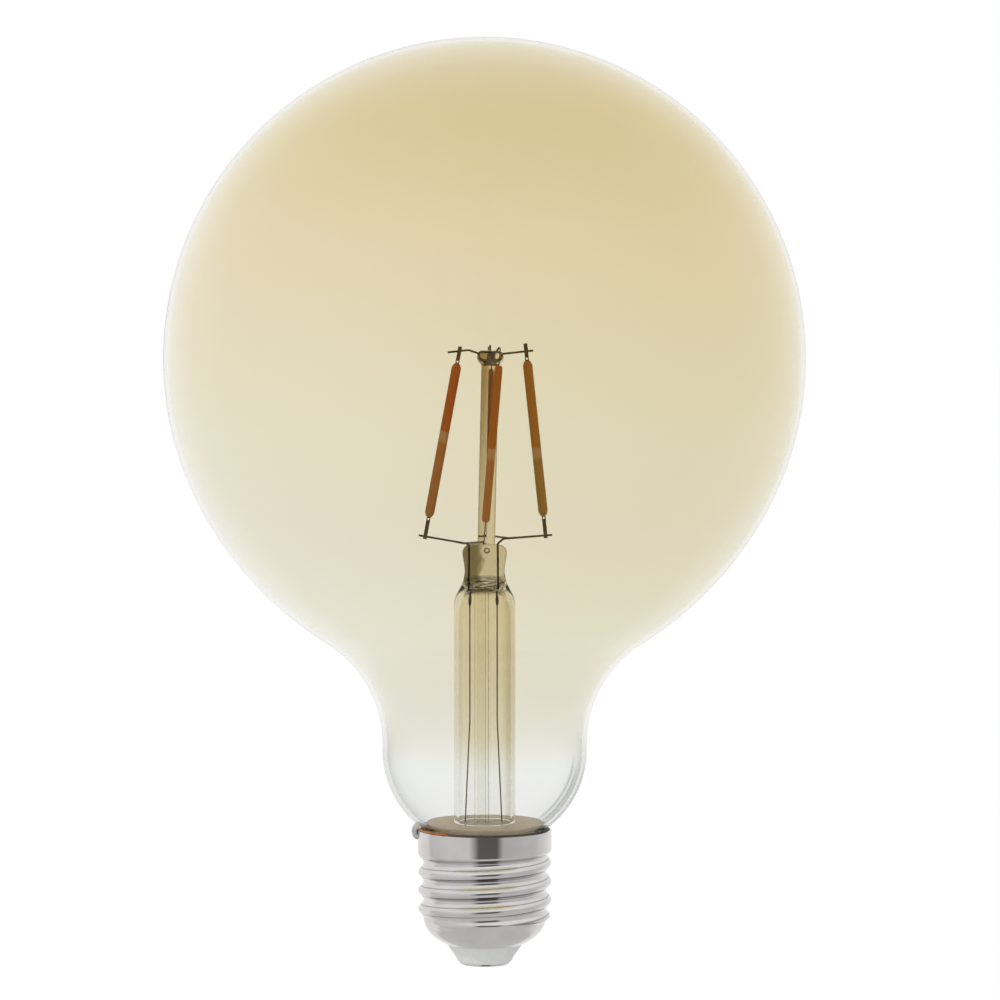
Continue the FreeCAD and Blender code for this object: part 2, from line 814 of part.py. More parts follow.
def fusible_resistor():
    """Dumb-bell body with a swollen cap at each end."""
    half = resistor_length / 2
    neck = resistor_radius * 0.86
    corner = 0.3
    full = half - 1.1
    slim = half - 1.6
    bottom = at(resistor_radius - corner, -half)
    top = at(resistor_radius - corner, half)
    side = [
        at(resistor_radius, corner - half),
        at(resistor_radius, -full),
        at(neck, -slim),
        at(neck, slim),
        at(resistor_radius, full),
        at(resistor_radius, half - corner),
    ]
    body = turned(
        chain([top, at(0, half), at(0, -half), bottom])
        + [arc(at(bottom.x, corner - half), corner, -90, 0)]
        + chain(side)
        + [arc(at(top.x, half - corner), corner, 0, 90)]
    )
    body.translate(Vector(resistor_offset, resistor_depth, resistor_middle))
    return body


def board_chip(x, height, legs):
    """A moulded chip on the board's back, with bent legs along its top and bottom edges."""
    back = board_face + board_thickness
    stand = back + leg_thickness
    face = stand + chip_thickness
    body = box(chip_width, chip_thickness, chip_height, Vector(x, (stand + face) / 2, height))
    rim = [edge for edge in body.Edges if abs(edge.CenterOfMass.y - face) < 0.01]
    body = body.makeChamfer(chip_thickness / 6, rim)
    riser_depth = leg_thickness + chip_thickness / 2
    for n in range(legs):
        leg_x = x + (n / (legs - 1) - 0.5) * (chip_width - 2 * leg_width)
        for way in (0, 1):
            edge = height + way * chip_height
            low = edge - leg_reach * (1 - way)
            foot = Vector(leg_x, back + leg_thickness / 2, low)
            riser = Vector(leg_x, back + riser_depth / 2, edge - leg_thickness * (1 - way))
            body = body.fuse(box(leg_width, leg_thickness, leg_reach, foot))
            body = body.fuse(box(leg_width, riser_depth, leg_thickness, riser))
    return body.removeSplitter()


def centre_lead():
    """Wire from the board's lower edge, down the plug's bore to the contact pin."""
    points = [
        Vector(0, pad_depth, board_bottom + 2.2),
        Vector(0, pad_depth, board_bottom + 0.9),
        Vector(0, 0, board_bottom + 0.6),
        Vector(0, 0, contact_pin_length),
    ]
    return bent_wire(points, wire_radius, 0.8)


chip_row = board_bottom + board_height * 0.28

pieces = {
    "screw_shell": screw_shell(),
    "cap_insulator": cap_insulator(),
    "end_contact": end_contact(),
    "basing_cement": basing_cement(),
    "rim_solder": rim_solder(),
    "side_lead_wire": side_lead(),
    "glass_envelope": glass_envelope(),
    "stem_press": stem_press(),
    "exhaust_tube": exhaust_tube(),
    "support_rod": support_rod(),
    "side_support_wire": side_wire(),
    "cross_support_wire": cross_wire(),
    "driver_board": driver_board(),
    "capacitor": capacitor(),
    "capacitor_leads": Part.makeCompound(capacitor_leads()),
    "fusible_resistor": fusible_resistor(),
    "resistor_leads": Part.makeCompound(resistor_leads()),
    "bridge_rectifier": board_chip(-chip_spacing / 2, chip_row, 2),
    "driver_chip": board_chip(chip_spacing / 2, chip_row, 4),
    "centre_lead_wire": centre_lead(),
}
for side in lead_offset:
    pieces[side + "_inner_lead"] = inner_lead(side)
    pieces[side + "_weld_knot"] = weld_knot(side)
    pieces[side + "_outer_lead"] = outer_lead(side)
for end in ("front", "rear"):
    pieces[end + "_branch_lead"] = branch_lead(end)
for end in welds:
    pieces[end + "_filament_coat"] = filament_coat(end)
    pieces[end + "_filament_strip"] = filament_strip(end)
    pieces[end + "_lower_tab"] = filament_tab(end, False)
    pieces[end + "_upper_tab"] = filament_tab(end, True)

os.makedirs("parts", exist_ok=True)
for name, shape in pieces.items():
    shape.exportStep("parts/" + name + ".step")
    print(name, len(shape.Solids), shape.isValid(), round(shape.Volume, 2))
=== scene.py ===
import math

import bmesh
import bpy
from mathutils import Matrix, Vector


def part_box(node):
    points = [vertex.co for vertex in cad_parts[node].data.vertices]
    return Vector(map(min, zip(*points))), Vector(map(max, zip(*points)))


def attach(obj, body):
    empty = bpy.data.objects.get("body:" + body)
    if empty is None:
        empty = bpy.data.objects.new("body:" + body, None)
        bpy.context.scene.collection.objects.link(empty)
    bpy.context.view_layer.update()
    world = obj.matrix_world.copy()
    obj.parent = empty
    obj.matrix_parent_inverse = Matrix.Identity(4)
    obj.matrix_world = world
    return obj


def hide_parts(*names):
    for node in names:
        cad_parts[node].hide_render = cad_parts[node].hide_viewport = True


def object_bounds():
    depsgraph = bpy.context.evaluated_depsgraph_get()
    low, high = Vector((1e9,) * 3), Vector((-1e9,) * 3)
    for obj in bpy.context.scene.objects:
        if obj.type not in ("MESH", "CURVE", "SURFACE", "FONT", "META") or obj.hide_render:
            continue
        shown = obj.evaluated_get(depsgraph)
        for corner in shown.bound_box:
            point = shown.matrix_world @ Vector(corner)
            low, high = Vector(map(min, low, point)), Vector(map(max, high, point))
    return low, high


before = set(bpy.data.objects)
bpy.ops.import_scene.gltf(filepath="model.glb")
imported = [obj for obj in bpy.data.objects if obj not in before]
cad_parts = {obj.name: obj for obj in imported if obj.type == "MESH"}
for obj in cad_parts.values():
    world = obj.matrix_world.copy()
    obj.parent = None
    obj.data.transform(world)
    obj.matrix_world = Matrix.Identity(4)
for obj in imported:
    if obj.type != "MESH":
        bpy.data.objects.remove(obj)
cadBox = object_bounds()
millimetre = 0.001
nearlyNothing = 1e-6      # a length in metres or a radius in mm below this counts as none
hairGap = 0.03            # mm between pieces of glass that are one in the real bulb
# the sockets of a Mix node that are for colours
mixShare, mixUnder, mixOver, mixResult = 0, 6, 7, 2


# Small helpers

def linearColour(hexText):
    # by the sRGB standard's own curve
    parts = [int(hexText[n:n + 2], 16) / 255 for n in (0, 2, 4)]
    return [p / 12.92 if p <= 0.04045 else ((p + 0.055) / 1.055) ** 2.4 for p in parts] + [1.0]


def grey(level):
    return [level, level, level, 1.0]


def addNode(tree, kind, inputs=(), **settings):
    # inputs come in socket order, or by socket name or number; a node stands for its first output
    node = tree.nodes.new(kind)
    for name, value in settings.items():
        setattr(node, name, value)
    for key, value in inputs.items() if isinstance(inputs, dict) else enumerate(inputs):
        if isinstance(value, bpy.types.Node):
            value = value.outputs[0]
        if isinstance(value, bpy.types.NodeSocket):
            tree.links.new(value, node.inputs[key])
        else:
            node.inputs[key].default_value = value
    return node


def fillRamp(node, stops):
    elements = node.color_ramp.elements
    while len(elements) > 1:
        elements.remove(elements[-1])
    for n, (place, colour) in enumerate(stops):
        element = elements[0] if n == 0 else elements.new(place)
        element.position = place
        element.color = linearColour(colour) if isinstance(colour, str) else grey(colour)


def newMaterial(name):
    material = bpy.data.materials.new(name)
    material.use_nodes = True
    tree = material.node_tree
    return material, tree, tree.nodes["Principled BSDF"]


def cyclesPerMetre(sizeMm):
    return 1 / (sizeMm * millimetre)


def unevenSurface(tree, shader, sizes, detail, bump, distortion=0.0):
    # soft noise whose lumps have these sizes in mm along X, Y and Z; bump is its depth in mm and strength
    stretched = addNode(tree, "ShaderNodeMapping", {
        "Vector": addNode(tree, "ShaderNodeTexCoord").outputs["Object"],
        "Scale": [cyclesPerMetre(size) for size in sizes],
    })
    noise = addNode(tree, "ShaderNodeTexNoise", {
        "Vector": stretched, "Scale": 1.0, "Detail": detail, "Distortion": distortion,
    })
    raised = addNode(tree, "ShaderNodeBump", {
        "Height": noise, "Strength": bump[1], "Distance": bump[0] * millimetre,
    })
    tree.links.new(raised.outputs["Normal"], shader.inputs["Normal"])
    return noise


def stain(tree, shader, colour, shares, blend="MULTIPLY"):
    # a colour over the base colour, as strong as all its shares together: each is a pattern, or a value
    # with the two places in mm between which the stain sets in
    strength = None
    for share in shares:
        if isinstance(share, tuple):
            value, (start, end) = share
            share = addNode(
                tree, "ShaderNodeMapRange", [value, start * millimetre, end * millimetre],
                interpolation_type="SMOOTHSTEP",
            )
        if strength is None:
            strength = share
        else:
            strength = addNode(tree, "ShaderNodeMath", [strength, share], operation="MULTIPLY")
    before = shader.inputs["Base Color"].links[0].from_socket
    stained = addNode(
        tree, "ShaderNodeMix", {mixShare: strength, mixUnder: before, mixOver: linearColour(colour)},
        data_type="RGBA", blend_type=blend,
    )
    tree.links.new(stained.outputs[mixResult], shader.inputs["Base Color"])


# how the tone of a plain finish drifts with the noise, and how deep and strong its bump is
drift = {"detail": 3.0, "low": 0.35, "high": 0.65, "bumpDepth": 0.02, "bumpStrength": 0.4}


def unevenFinish(name, look):
    # a finish whose tone drifts between two colours over the grain's length, with a bump to match
    material, tree, shader = newMaterial(name)
    bump = (look.get("bumpDepth", drift["bumpDepth"]), drift["bumpStrength"])
    grain = unevenSurface(tree, shader, [look["grain"]] * 3, drift["detail"], bump)
    tone = addNode(tree, "ShaderNodeValToRGB", [grain])
    fillRamp(tone, [(drift["low"], look["low"]), (drift["high"], look["high"])])
    tree.links.new(tone.outputs[0], shader.inputs["Base Color"])
    shader.inputs["Metallic"].default_value = look.get("metallic", 0.0)
    shader.inputs["Roughness"].default_value = look["roughness"]
    return material


def distanceFromAxis(tree, position):
    flat = addNode(tree, "ShaderNodeVectorMath", [position, (1, 1, 0)], operation="MULTIPLY")
    return addNode(tree, "ShaderNodeVectorMath", [flat], operation="LENGTH").outputs["Value"]


def finishPiece(name, mesh, material, node, sharpAngle=40):
    # shaded smooth up to the sharp angle, so that a cut end stays crisp
    build = bmesh.new()
    build.from_mesh(mesh)
    for edge in build.edges:
        edge.smooth = len(edge.link_faces) == 2 and edge.calc_face_angle(0) < math.radians(sharpAngle)
    build.to_mesh(mesh)
    build.free()
    piece = bpy.data.objects.new(name, mesh)
    bpy.context.scene.collection.objects.link(piece)
    mesh.materials.clear()
    mesh.materials.append(material)
    for polygon in mesh.polygons:
        polygon.use_smooth = True
    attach(piece, "root")
    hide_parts(node)


def ringMesh(name, rings, segments, centre=(0.0, 0.0)):
    # rings of (half width, half depth, height) in mm: from pole to pole, or right round a hollow piece
    build = bmesh.new()
    rows = []
    for width, depth, height in rings:
        middle = Vector((centre[0], centre[1], height))
        if width < nearlyNothing:
            rows.append([build.verts.new(middle * millimetre)] * segments)
            continue
        turns = [2 * math.pi * n / segments for n in range(segments)]
        around = [Vector((width * math.cos(turn), depth * math.sin(turn), 0)) for turn in turns]
        rows.append([build.verts.new((middle + place) * millimetre) for place in around])
    hasPoles = rings[0][0] < nearlyNothing
    for upper, lower in zip(rows, rows[1:] if hasPoles else rows[1:] + rows[:1]):
        for n in range(segments):
            following = (n + 1) % segments
            corners = [upper[n], lower[n], lower[following], upper[following]]
            build.faces.new(dict.fromkeys(corners))
    mesh = bpy.data.meshes.new(name)
    build.to_mesh(mesh)
    build.free()
    return mesh


def turnedMesh(name, profile, segments, centre=(0.0, 0.0)):
    return ringMesh(name, [(radius, radius, height) for radius, height in profile], segments, centre)


def arcPoints(centre, radius, start, end, count):
    turns = [math.radians(start + (end - start) * n / count) for n in range(count + 1)]
    return [(centre[0] + radius * math.cos(turn), centre[1] + radius * math.sin(turn)) for turn in turns]


def steps(start, end, count):
    # the places between two heights, with the end but without the start
    return [start + (end - start) * n / count for n in range(1, count + 1)]


def smoothCopy(node, material, slot, sharpAngle=35):
    # the CAD mesh is loose triangles, so the copy is welded
    words = node.split("_")
    name = words[0] + "".join(word.title() for word in words[1:])
    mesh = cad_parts[node].data.copy()
    build = bmesh.new()
    build.from_mesh(mesh)
    bmesh.ops.remove_doubles(build, verts=build.verts, dist=nearlyNothing)
    build.to_mesh(mesh)
    build.free()
    if mesh.attributes.get("custom_normal"):
        mesh.attributes.remove(mesh.attributes["custom_normal"])
    mesh.name = name
    finishPiece(name, mesh, material, node, sharpAngle)


# Camera, as the photograph was taken: a long lens a little above the globe's middle

camera = {
    "place": (0.003, -0.880, 0.141),
    "pitch": 3.25,
    "lens": 162.6,
    "film": 36,
    "nearest": 0.01,
    "farthest": 50,
}
lens = bpy.data.cameras.new("camera")
lens.lens = camera["lens"]
lens.sensor_width = camera["film"]
lens.clip_start = camera["nearest"]
lens.clip_end = camera["farthest"]
cameraObject = bpy.data.objects.new("camera", lens)
cameraObject.location = camera["place"]
cameraObject.rotation_euler = (math.radians(90 - camera["pitch"]), 0, 0)
bpy.context.scene.collection.objects.link(cameraObject)
bpy.context.scene.camera = cameraObject
print("camera ready")


# Studio: white surroundings, with grey walls and a dark opening that only reflections show

studio = {
    "light": 0.86,        # what matt surfaces receive
    # share of the way round, with 0.5 towards the camera, and how bright a reflection of it is
    "walls": [
        (0.0, 0.88), (0.18, 0.88), (0.205, 0.64), (0.26, 0.68), (0.425, 0.71), (0.472, 0.12),
        (0.562, 0.12), (0.59, 0.55), (0.70, 0.58), (0.78, 0.63), (0.85, 0.78), (0.9, 0.88),
    ],
    "ceiling": 0.86,
    "ceilingStart": 0.3,  # sine of the height where it starts
    "ground": 0.6,
    "groundStart": 0.5,
    "softEdge": 0.16,
    "floorDrop": 0.045,
    "floorReach": 6,
    "floorGlow": 0.74,
    "floorShade": 0.3,
    "lampPower": 2.2,
    "lampPlace": (-0.7, -0.6, 0.7),
    "lampAim": (0, 0, 0.08),
    "lampSize": 0.6,
    "glassBounces": 32,   # enough to pass through every wall of the bulb
    "mirrorBounces": 8,
}


def buildWorld():
    world = bpy.data.worlds.new("studio")
    bpy.context.scene.world = world
    world.use_nodes = True
    tree = world.node_tree
    tree.nodes.clear()
    direction = addNode(tree, "ShaderNodeTexCoord").outputs["Generated"]
    axes = addNode(tree, "ShaderNodeSeparateXYZ", [direction])
    towardsCamera = addNode(tree, "ShaderNodeMath", [axes.outputs["Y"], -1.0], operation="MULTIPLY")
    azimuth = addNode(tree, "ShaderNodeMath", [axes.outputs["X"], towardsCamera], operation="ARCTAN2")
    share = addNode(tree, "ShaderNodeMath", [azimuth, 0.5 / math.pi, 0.5], operation="MULTIPLY_ADD")
    reflected = addNode(tree, "ShaderNodeValToRGB", [share])
    fillRamp(reflected, studio["walls"])
    last = reflected.outputs[0]
    for sign, start, level in (
        (1, studio["ceilingStart"], studio["ceiling"]),
        (-1, studio["groundStart"], studio["ground"]),
    ):
        ends = [sign * start, sign * (start + studio["softEdge"])]
        inside = addNode(
            tree, "ShaderNodeMapRange", [axes.outputs["Z"]] + ends, interpolation_type="SMOOTHSTEP",
        )
        last = addNode(
            tree, "ShaderNodeMix", {mixShare: inside, mixUnder: last, mixOver: grey(level)},
            data_type="RGBA",
        ).outputs[mixResult]
    path = addNode(tree, "ShaderNodeLightPath")
    # a ray that passes through clear glass counts as glossy too, so Is Transmission Ray is asked last
    given = addNode(tree, "ShaderNodeMix", {
        mixShare: path.outputs["Is Glossy Ray"], mixUnder: grey(studio["light"]), mixOver: last,
    }, data_type="RGBA").outputs[mixResult]
    seen = addNode(
        tree, "ShaderNodeMath", [path.outputs["Is Camera Ray"], path.outputs["Is Transmission Ray"]],
        operation="MAXIMUM",
    )
    final = addNode(
        tree, "ShaderNodeMix", {mixShare: seen, mixUnder: given, mixOver: grey(1.0)}, data_type="RGBA",
    ).outputs[mixResult]
    background = addNode(tree, "ShaderNodeBackground", [final, 1.0])
    addNode(tree, "ShaderNodeOutputWorld", [background])


def buildFloor():
    # white paper: matt, and as white as the photograph's background
    material, tree, shader = newMaterial("white paper floor")
    tree.nodes.remove(shader)
    path = addNode(tree, "ShaderNodeLightPath")
    matt = addNode(tree, "ShaderNodeBsdfDiffuse", [grey(studio["floorShade"])])
    glow = addNode(
        tree, "ShaderNodeMath", [path.outputs["Is Camera Ray"], studio["floorGlow"]], operation="MULTIPLY",
    )
    paper = addNode(tree, "ShaderNodeEmission", [grey(1.0), glow])
    last = addNode(tree, "ShaderNodeAddShader", [matt, paper])
    for ray, level in (("Is Diffuse Ray", studio["light"]), ("Is Transmission Ray", 1.0)):
        shown = addNode(tree, "ShaderNodeEmission", [grey(1.0), level])
        last = addNode(tree, "ShaderNodeMixShader", [path.outputs[ray], last, shown])
    tree.links.new(last.outputs[0], tree.nodes["Material Output"].inputs["Surface"])
    mesh = bpy.data.meshes.new("floor")
    reach = studio["floorReach"]
    low = cadBox[0][2] - studio["floorDrop"]
    corners = [(-reach, -reach, low), (reach, -reach, low), (reach, reach, low), (-reach, reach, low)]
    mesh.from_pydata(corners, [], [(0, 1, 2, 3)])
    mesh.materials.append(material)
    floor = bpy.data.objects.new("floor", mesh)
    floor.visible_glossy = False
    bpy.context.scene.collection.objects.link(floor)


def buildLamp():
    place = Vector(studio["lampPlace"])
    aim = Vector(studio["lampAim"])
    light = bpy.data.lights.new("softLamp", "AREA")
    light.shape = "DISK"
    light.size = studio["lampSize"]
    light.energy = studio["lampPower"]
    lamp = bpy.data.objects.new("softLamp", light)
    lamp.location = place
    lamp.rotation_euler = (aim - place).to_track_quat("-Z", "Y").to_euler()
    lamp.visible_glossy = False
    lamp.visible_transmission = False
    lamp.visible_camera = False
    bpy.context.scene.collection.objects.link(lamp)


buildWorld()
buildFloor()
buildLamp()
scene = bpy.context.scene
scene.view_settings.view_transform = "Standard"
scene.cycles.max_bounces = studio["glassBounces"]
scene.cycles.transmission_bounces = studio["glassBounces"]
scene.cycles.glossy_bounces = studio["mirrorBounces"]
print("studio ready")


# Glass: the tint follows the height, and turns to a painted edge tone where the surface is seen edge-on,
# which is painted reflection where it is paler and painted shade where it is darker

def heightRamp(tree, axes, stops):
    low = stops[0][0]
    high = stops[-1][0]
    height = addNode(tree, "ShaderNodeMapRange", [axes["Z"], low * millimetre, high * millimetre])
    ramp = addNode(tree, "ShaderNodeValToRGB", [height])
    fillRamp(ramp, [((z - low) / (high - low), colour) for z, colour in stops])
    return ramp.outputs[0]


def tintedGlass(name, look):
    # each surface that light crosses passes the square root of these colours
    material, tree, shader = newMaterial(name)
    position = addNode(tree, "ShaderNodeTexCoord").outputs["Object"]
    axes = addNode(tree, "ShaderNodeSeparateXYZ", [position]).outputs
    tint = heightRamp(tree, axes, look["tint"])
    # painted reflection and painted shade along the outlines, by how edge-on the surface is seen
    edge = heightRamp(tree, axes, look["paintedEdgeTone"])
    edgeOn = addNode(tree, "ShaderNodeLayerWeight").outputs["Facing"]
    rise = addNode(tree, "ShaderNodeValToRGB", [edgeOn])
    fillRamp(rise, look["paintedEdgeRise"])
    colour = addNode(
        tree, "ShaderNodeMix", {mixShare: rise, mixUnder: tint, mixOver: edge}, data_type="RGBA",
    ).outputs[mixResult]
    tree.links.new(colour, shader.inputs["Base Color"])
    shader.inputs["Transmission Weight"].default_value = 1.0
    shader.inputs["Roughness"].default_value = 0.0
    shader.inputs["IOR"].default_value = look["ior"]
    return material, tree, shader, axes


# Globe: blown glass with a gold coat that fades out at the neck

globe = {
    "wall": 0.85,
    "radius": 62.5,
    "lowerRadius": 71.0,
    "lowerAngle": 33.1,
    "shoulderRadius": 23.5,
    "neckRadius": 20.0,
    "neckLength": 1.45,
    "heelRadius": 18.7,
    "collarRadius": 12.2,
    "collarTop": 26.7,
    "collarBottom": 24.6,
    "segments": 160,
    "arcSteps": (72, 22, 22, 20),   # for the crown, the lower part, the shoulder and the heel
    "facetShare": 0.9998,           # keeps it inside the solid's facets
    "waves": (38, 38, 38),          # length of the blown glass's soft waves
    "wavesDetail": 1.0,
    "bump": (0.06, 0.35),
    "ior": 1.15,          # so thin a wall of soda glass mirrors less than a solid piece does
    "tint": [
        (24.0, "f4f4f3"), (39.0, "f6f7f5"), (41.0, "f5f5f1"), (43.5, "f2f1ea"), (52.0, "f1f0e9"),
        (64.0, "f2f1e7"), (84.0, "f1eee3"), (104.0, "f1eee0"), (124.0, "f1ecdb"), (144.0, "f1e9d5"),
        (166.0, "ece3c8"), (181.0, "eae2cc"),
    ],
    # painted shade: the glass is a little darker towards the right, above the neck
    "farSide": "fbf9f3",
    "paintedShadeAcross": (-58.0, 58.0),
    "coatStart": (42.0, 56.0),
    # painted edge tone: grey painted shade at the clear neck, a painted white reflection higher up
    "paintedEdgeTone": [(24.0, "b2b5b1"), (41.0, "bcbfba"), (50.0, "fbfbf8"), (181.0, "fdfdfb")],
    "paintedEdgeRise": [(0.3, 0.0), (0.45, 0.07), (0.6, 0.19), (0.75, 0.6), (0.9, 1.0)],
    # painted shade: the clear neck's two dark outlines on its right, by how edge-on the glass is seen
    "neckShadeLines": [(0.55, 0.0), (0.6, 1.0), (0.64, 0.0), (0.74, 0.0), (0.82, 1.0), (0.92, 0.2)],
    "neckShadeLine": "a0a19b",
    "neckShadeLineAcross": (9.0, 13.0),
    "neckShadeLineTop": (41.0, 37.0),
}


def globeProfile(inset):
    # crown to collar, one arc after the other, as the mould shapes it
    neck = globe["neckRadius"]
    heelX = neck - globe["heelRadius"]
    heelZ = globe["collarTop"] + math.sqrt(globe["heelRadius"] ** 2 - (globe["collarRadius"] - heelX) ** 2)
    shoulderX = neck + globe["shoulderRadius"]
    shoulderZ = heelZ + globe["neckLength"]
    fuller = globe["radius"] - globe["lowerRadius"]
    tilt = math.radians(globe["lowerAngle"])
    across = shoulderX - fuller * math.cos(tilt)
    rise = math.sqrt((globe["lowerRadius"] + globe["shoulderRadius"]) ** 2 - across ** 2)
    lowerCentre = (fuller * math.cos(tilt), shoulderZ + rise)
    middle = (0.0, lowerCentre[1] + fuller * math.sin(tilt))
    meet = math.degrees(math.atan2(rise, -across))
    heel = globe["heelRadius"] - inset
    collar = globe["collarRadius"] - inset
    heelEnd = math.degrees(math.acos((collar - heelX) / heel))
    forCrown, forLower, forShoulder, forHeel = globe["arcSteps"]
    points = arcPoints(middle, globe["radius"] - inset, 90, -globe["lowerAngle"], forCrown)
    points[0] = (0.0, points[0][1])
    lower = globe["lowerRadius"] - inset
    points += arcPoints(lowerCentre, lower, -globe["lowerAngle"], meet - 180, forLower)[1:]
    shoulder = globe["shoulderRadius"] + inset
    points += arcPoints((shoulderX, shoulderZ), shoulder, meet, 180, forShoulder)[1:]
    points += arcPoints((heelX, heelZ), heel, 0, -heelEnd, forHeel)
    points.append((collar, globe["collarBottom"]))
    return points


def buildGlobe():
    # gold-coated glass: honey towards the crown, clear at the neck, with a painted white reflection where
    # it is seen edge-on; blown glass is never quite even, so long soft waves barely bend what lies behind
    material, tree, shader, axes = tintedGlass("gold-coated blown glass", globe)
    unevenSurface(tree, shader, globe["waves"], globe["wavesDetail"], globe["bump"])
    # painted shade towards the right
    stain(tree, shader, globe["farSide"], [
        (axes["X"], globe["paintedShadeAcross"]), (axes["Z"], globe["coatStart"]),
    ])
    # painted shade: two dark lines on the clear neck's right
    edgeOn = addNode(tree, "ShaderNodeLayerWeight").outputs["Facing"]
    lines = addNode(tree, "ShaderNodeValToRGB", [edgeOn])
    fillRamp(lines, globe["neckShadeLines"])
    stain(tree, shader, globe["neckShadeLine"], [
        (axes["X"], globe["neckShadeLineAcross"]), (axes["Z"], globe["neckShadeLineTop"]), lines,
    ])
    outline = globeProfile(0) + list(reversed(globeProfile(globe["wall"])))
    lowest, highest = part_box("glass_envelope")
    fit = (highest[0] - lowest[0]) / 2 / millimetre / globe["radius"] * globe["facetShare"]
    fitted = [(radius * fit, height) for radius, height in outline]
    mesh = turnedMesh("globeGlass", fitted, globe["segments"])
    finishPiece("globeGlass", mesh, material, "glass_envelope")


buildGlobe()
print("globe ready")


# Glass stem: tube with its foot, pinched press, pumping tube and the rod with its melted button

stem = {
    "radius": 6.0,
    "wall": 0.9,
    "flare": 1.8,
    "footRadius": 11.32,
    "footTop": 27.78,
    "footLip": 1.4,
    "foot": {"low": "dcc8aa", "high": "ecdac0", "grain": 3.5, "roughness": 0.4, "bumpDepth": 0.05},
    "footGloss": 0.1,
    "pressBase": 69.0,
    "segments": 96,
    # half width, half depth and height above the press's base
    "press": [
        (6.0, 6.0, 0.0), (5.99, 5.96, 1.1), (5.95, 5.88, 2.1), (5.6, 5.25, 3.4), (5.0, 4.25, 4.5),
        (4.45, 3.4, 5.55), (4.13, 2.9, 6.6), (3.92, 2.65, 7.6), (3.9, 2.6, 8.3), (4.05, 2.6, 9.6),
        (4.25, 2.62, 10.8), (4.35, 2.61, 11.6), (4.3, 2.57, 12.2), (4.05, 2.45, 12.7),
        (3.6, 2.25, 13.15), (2.7, 1.85, 13.42), (1.8, 1.3, 13.5), (0.0, 0.0, 13.5),
    ],
    "ventRadius": 0.46,
    "ventOffset": 0.43,
    "ventFace": 2.57,     # half the press's depth there
    "ventDrop": 1.2,
    "ior": 1.15,
    "tint": [
        (24.0, "fbfbfa"), (38.0, "fafaf8"), (44.0, "f5f2e8"), (60.0, "f3eddf"), (72.0, "f2ecdb"),
        (76.0, "d8ccae"), (84.0, "d6caac"),
    ],
    # painted dark outlines along the edges, darkest at the press
    "paintedEdgeTone": [
        (24.0, "c4c5c1"), (38.0, "c2c2bc"), (46.0, "c0b490"), (66.0, "b8a980"), (69.5, "dcd4ba"),
        (77.0, "dcd4ba"), (79.0, "77694a"), (84.0, "6e6042"),
    ],
    "paintedEdgeRise": [(0.44, 0.0), (0.5, 0.3), (0.85, 0.35), (1.0, 1.0)],
    "tubeSteps": 24,
    "domeSteps": 12,
    "ventSteps": (32, 20),   # around and down
    # the melted ring where the tube ends: painted shade in dark wavy lines, 1.2 mm high and 5 mm long,
    # over wrinkles of the same size
    "melt": (5.0, 5.0, 1.2),
    "meltDetail": 2.0,
    "meltWarp": 1.0,
    "meltShadeLines": [
        (0.3, 0.3), (0.38, 0.5), (0.42, 1.0), (0.48, 0.9), (0.5, 0.15), (0.54, 0.15), (0.56, 1.0),
        (0.64, 0.5),
    ],
    "meltBottom": (72.6, 73.6),
    "meltTop": (76.5, 75.2),
    "meltShade": "30261a",
    "bump": (0.06, 0.3),
    # painted shade on the press's left, with a ragged edge
    "pressShadeSize": 3.0,
    "pressShadeDetail": 2.0,
    "pressShadeReach": 4.0,
    "pressShadeEdge": (1.7, 0.8),
    "pressShadeBottom": (73.0, 75.5),
    "pressShadeColour": "999277",
    # painted shade on the side of the tube away from the window
    "farSide": (3.0, 5.2),
    "paintedShadeColour": "f3f1ea",
    # painted shade: the blown vent's dark rim, by the distance from its middle
    "rimInside": (0.26, 0.38),
    "rimOutside": (0.64, 0.52),
    "rimFront": (-1.0, -1.5),
    "rimStain": "3c3222",
}
pressTop = stem["pressBase"] + stem["press"][-1][2]
hollowRadius = stem["radius"] - stem["wall"]
hollowTop = stem["pressBase"] + hollowRadius


def blowHole(mesh, middle, radius):
    # takes a round dimple out of the glass, its middle in mm
    build = bmesh.new()
    around, down = stem["ventSteps"]
    bmesh.ops.create_uvsphere(build, u_segments=around, v_segments=down, radius=radius * millimetre)
    build.transform(Matrix.Translation(Vector(middle) * millimetre))
    bubble = bpy.data.meshes.new("bubble")
    build.to_mesh(bubble)
    build.free()
    body = bpy.data.objects.new("blank", mesh)
    tool = bpy.data.objects.new("bubble", bubble)
    for helper in (body, tool):
        bpy.context.scene.collection.objects.link(helper)
    cut = body.modifiers.new("cut", "BOOLEAN")
    cut.operation = "DIFFERENCE"
    cut.solver = "EXACT"
    cut.object = tool
    ready = bpy.data.meshes.new_from_object(body.evaluated_get(bpy.context.evaluated_depsgraph_get()))
    for helper in (body, tool):
        bpy.data.objects.remove(helper)
    return ready


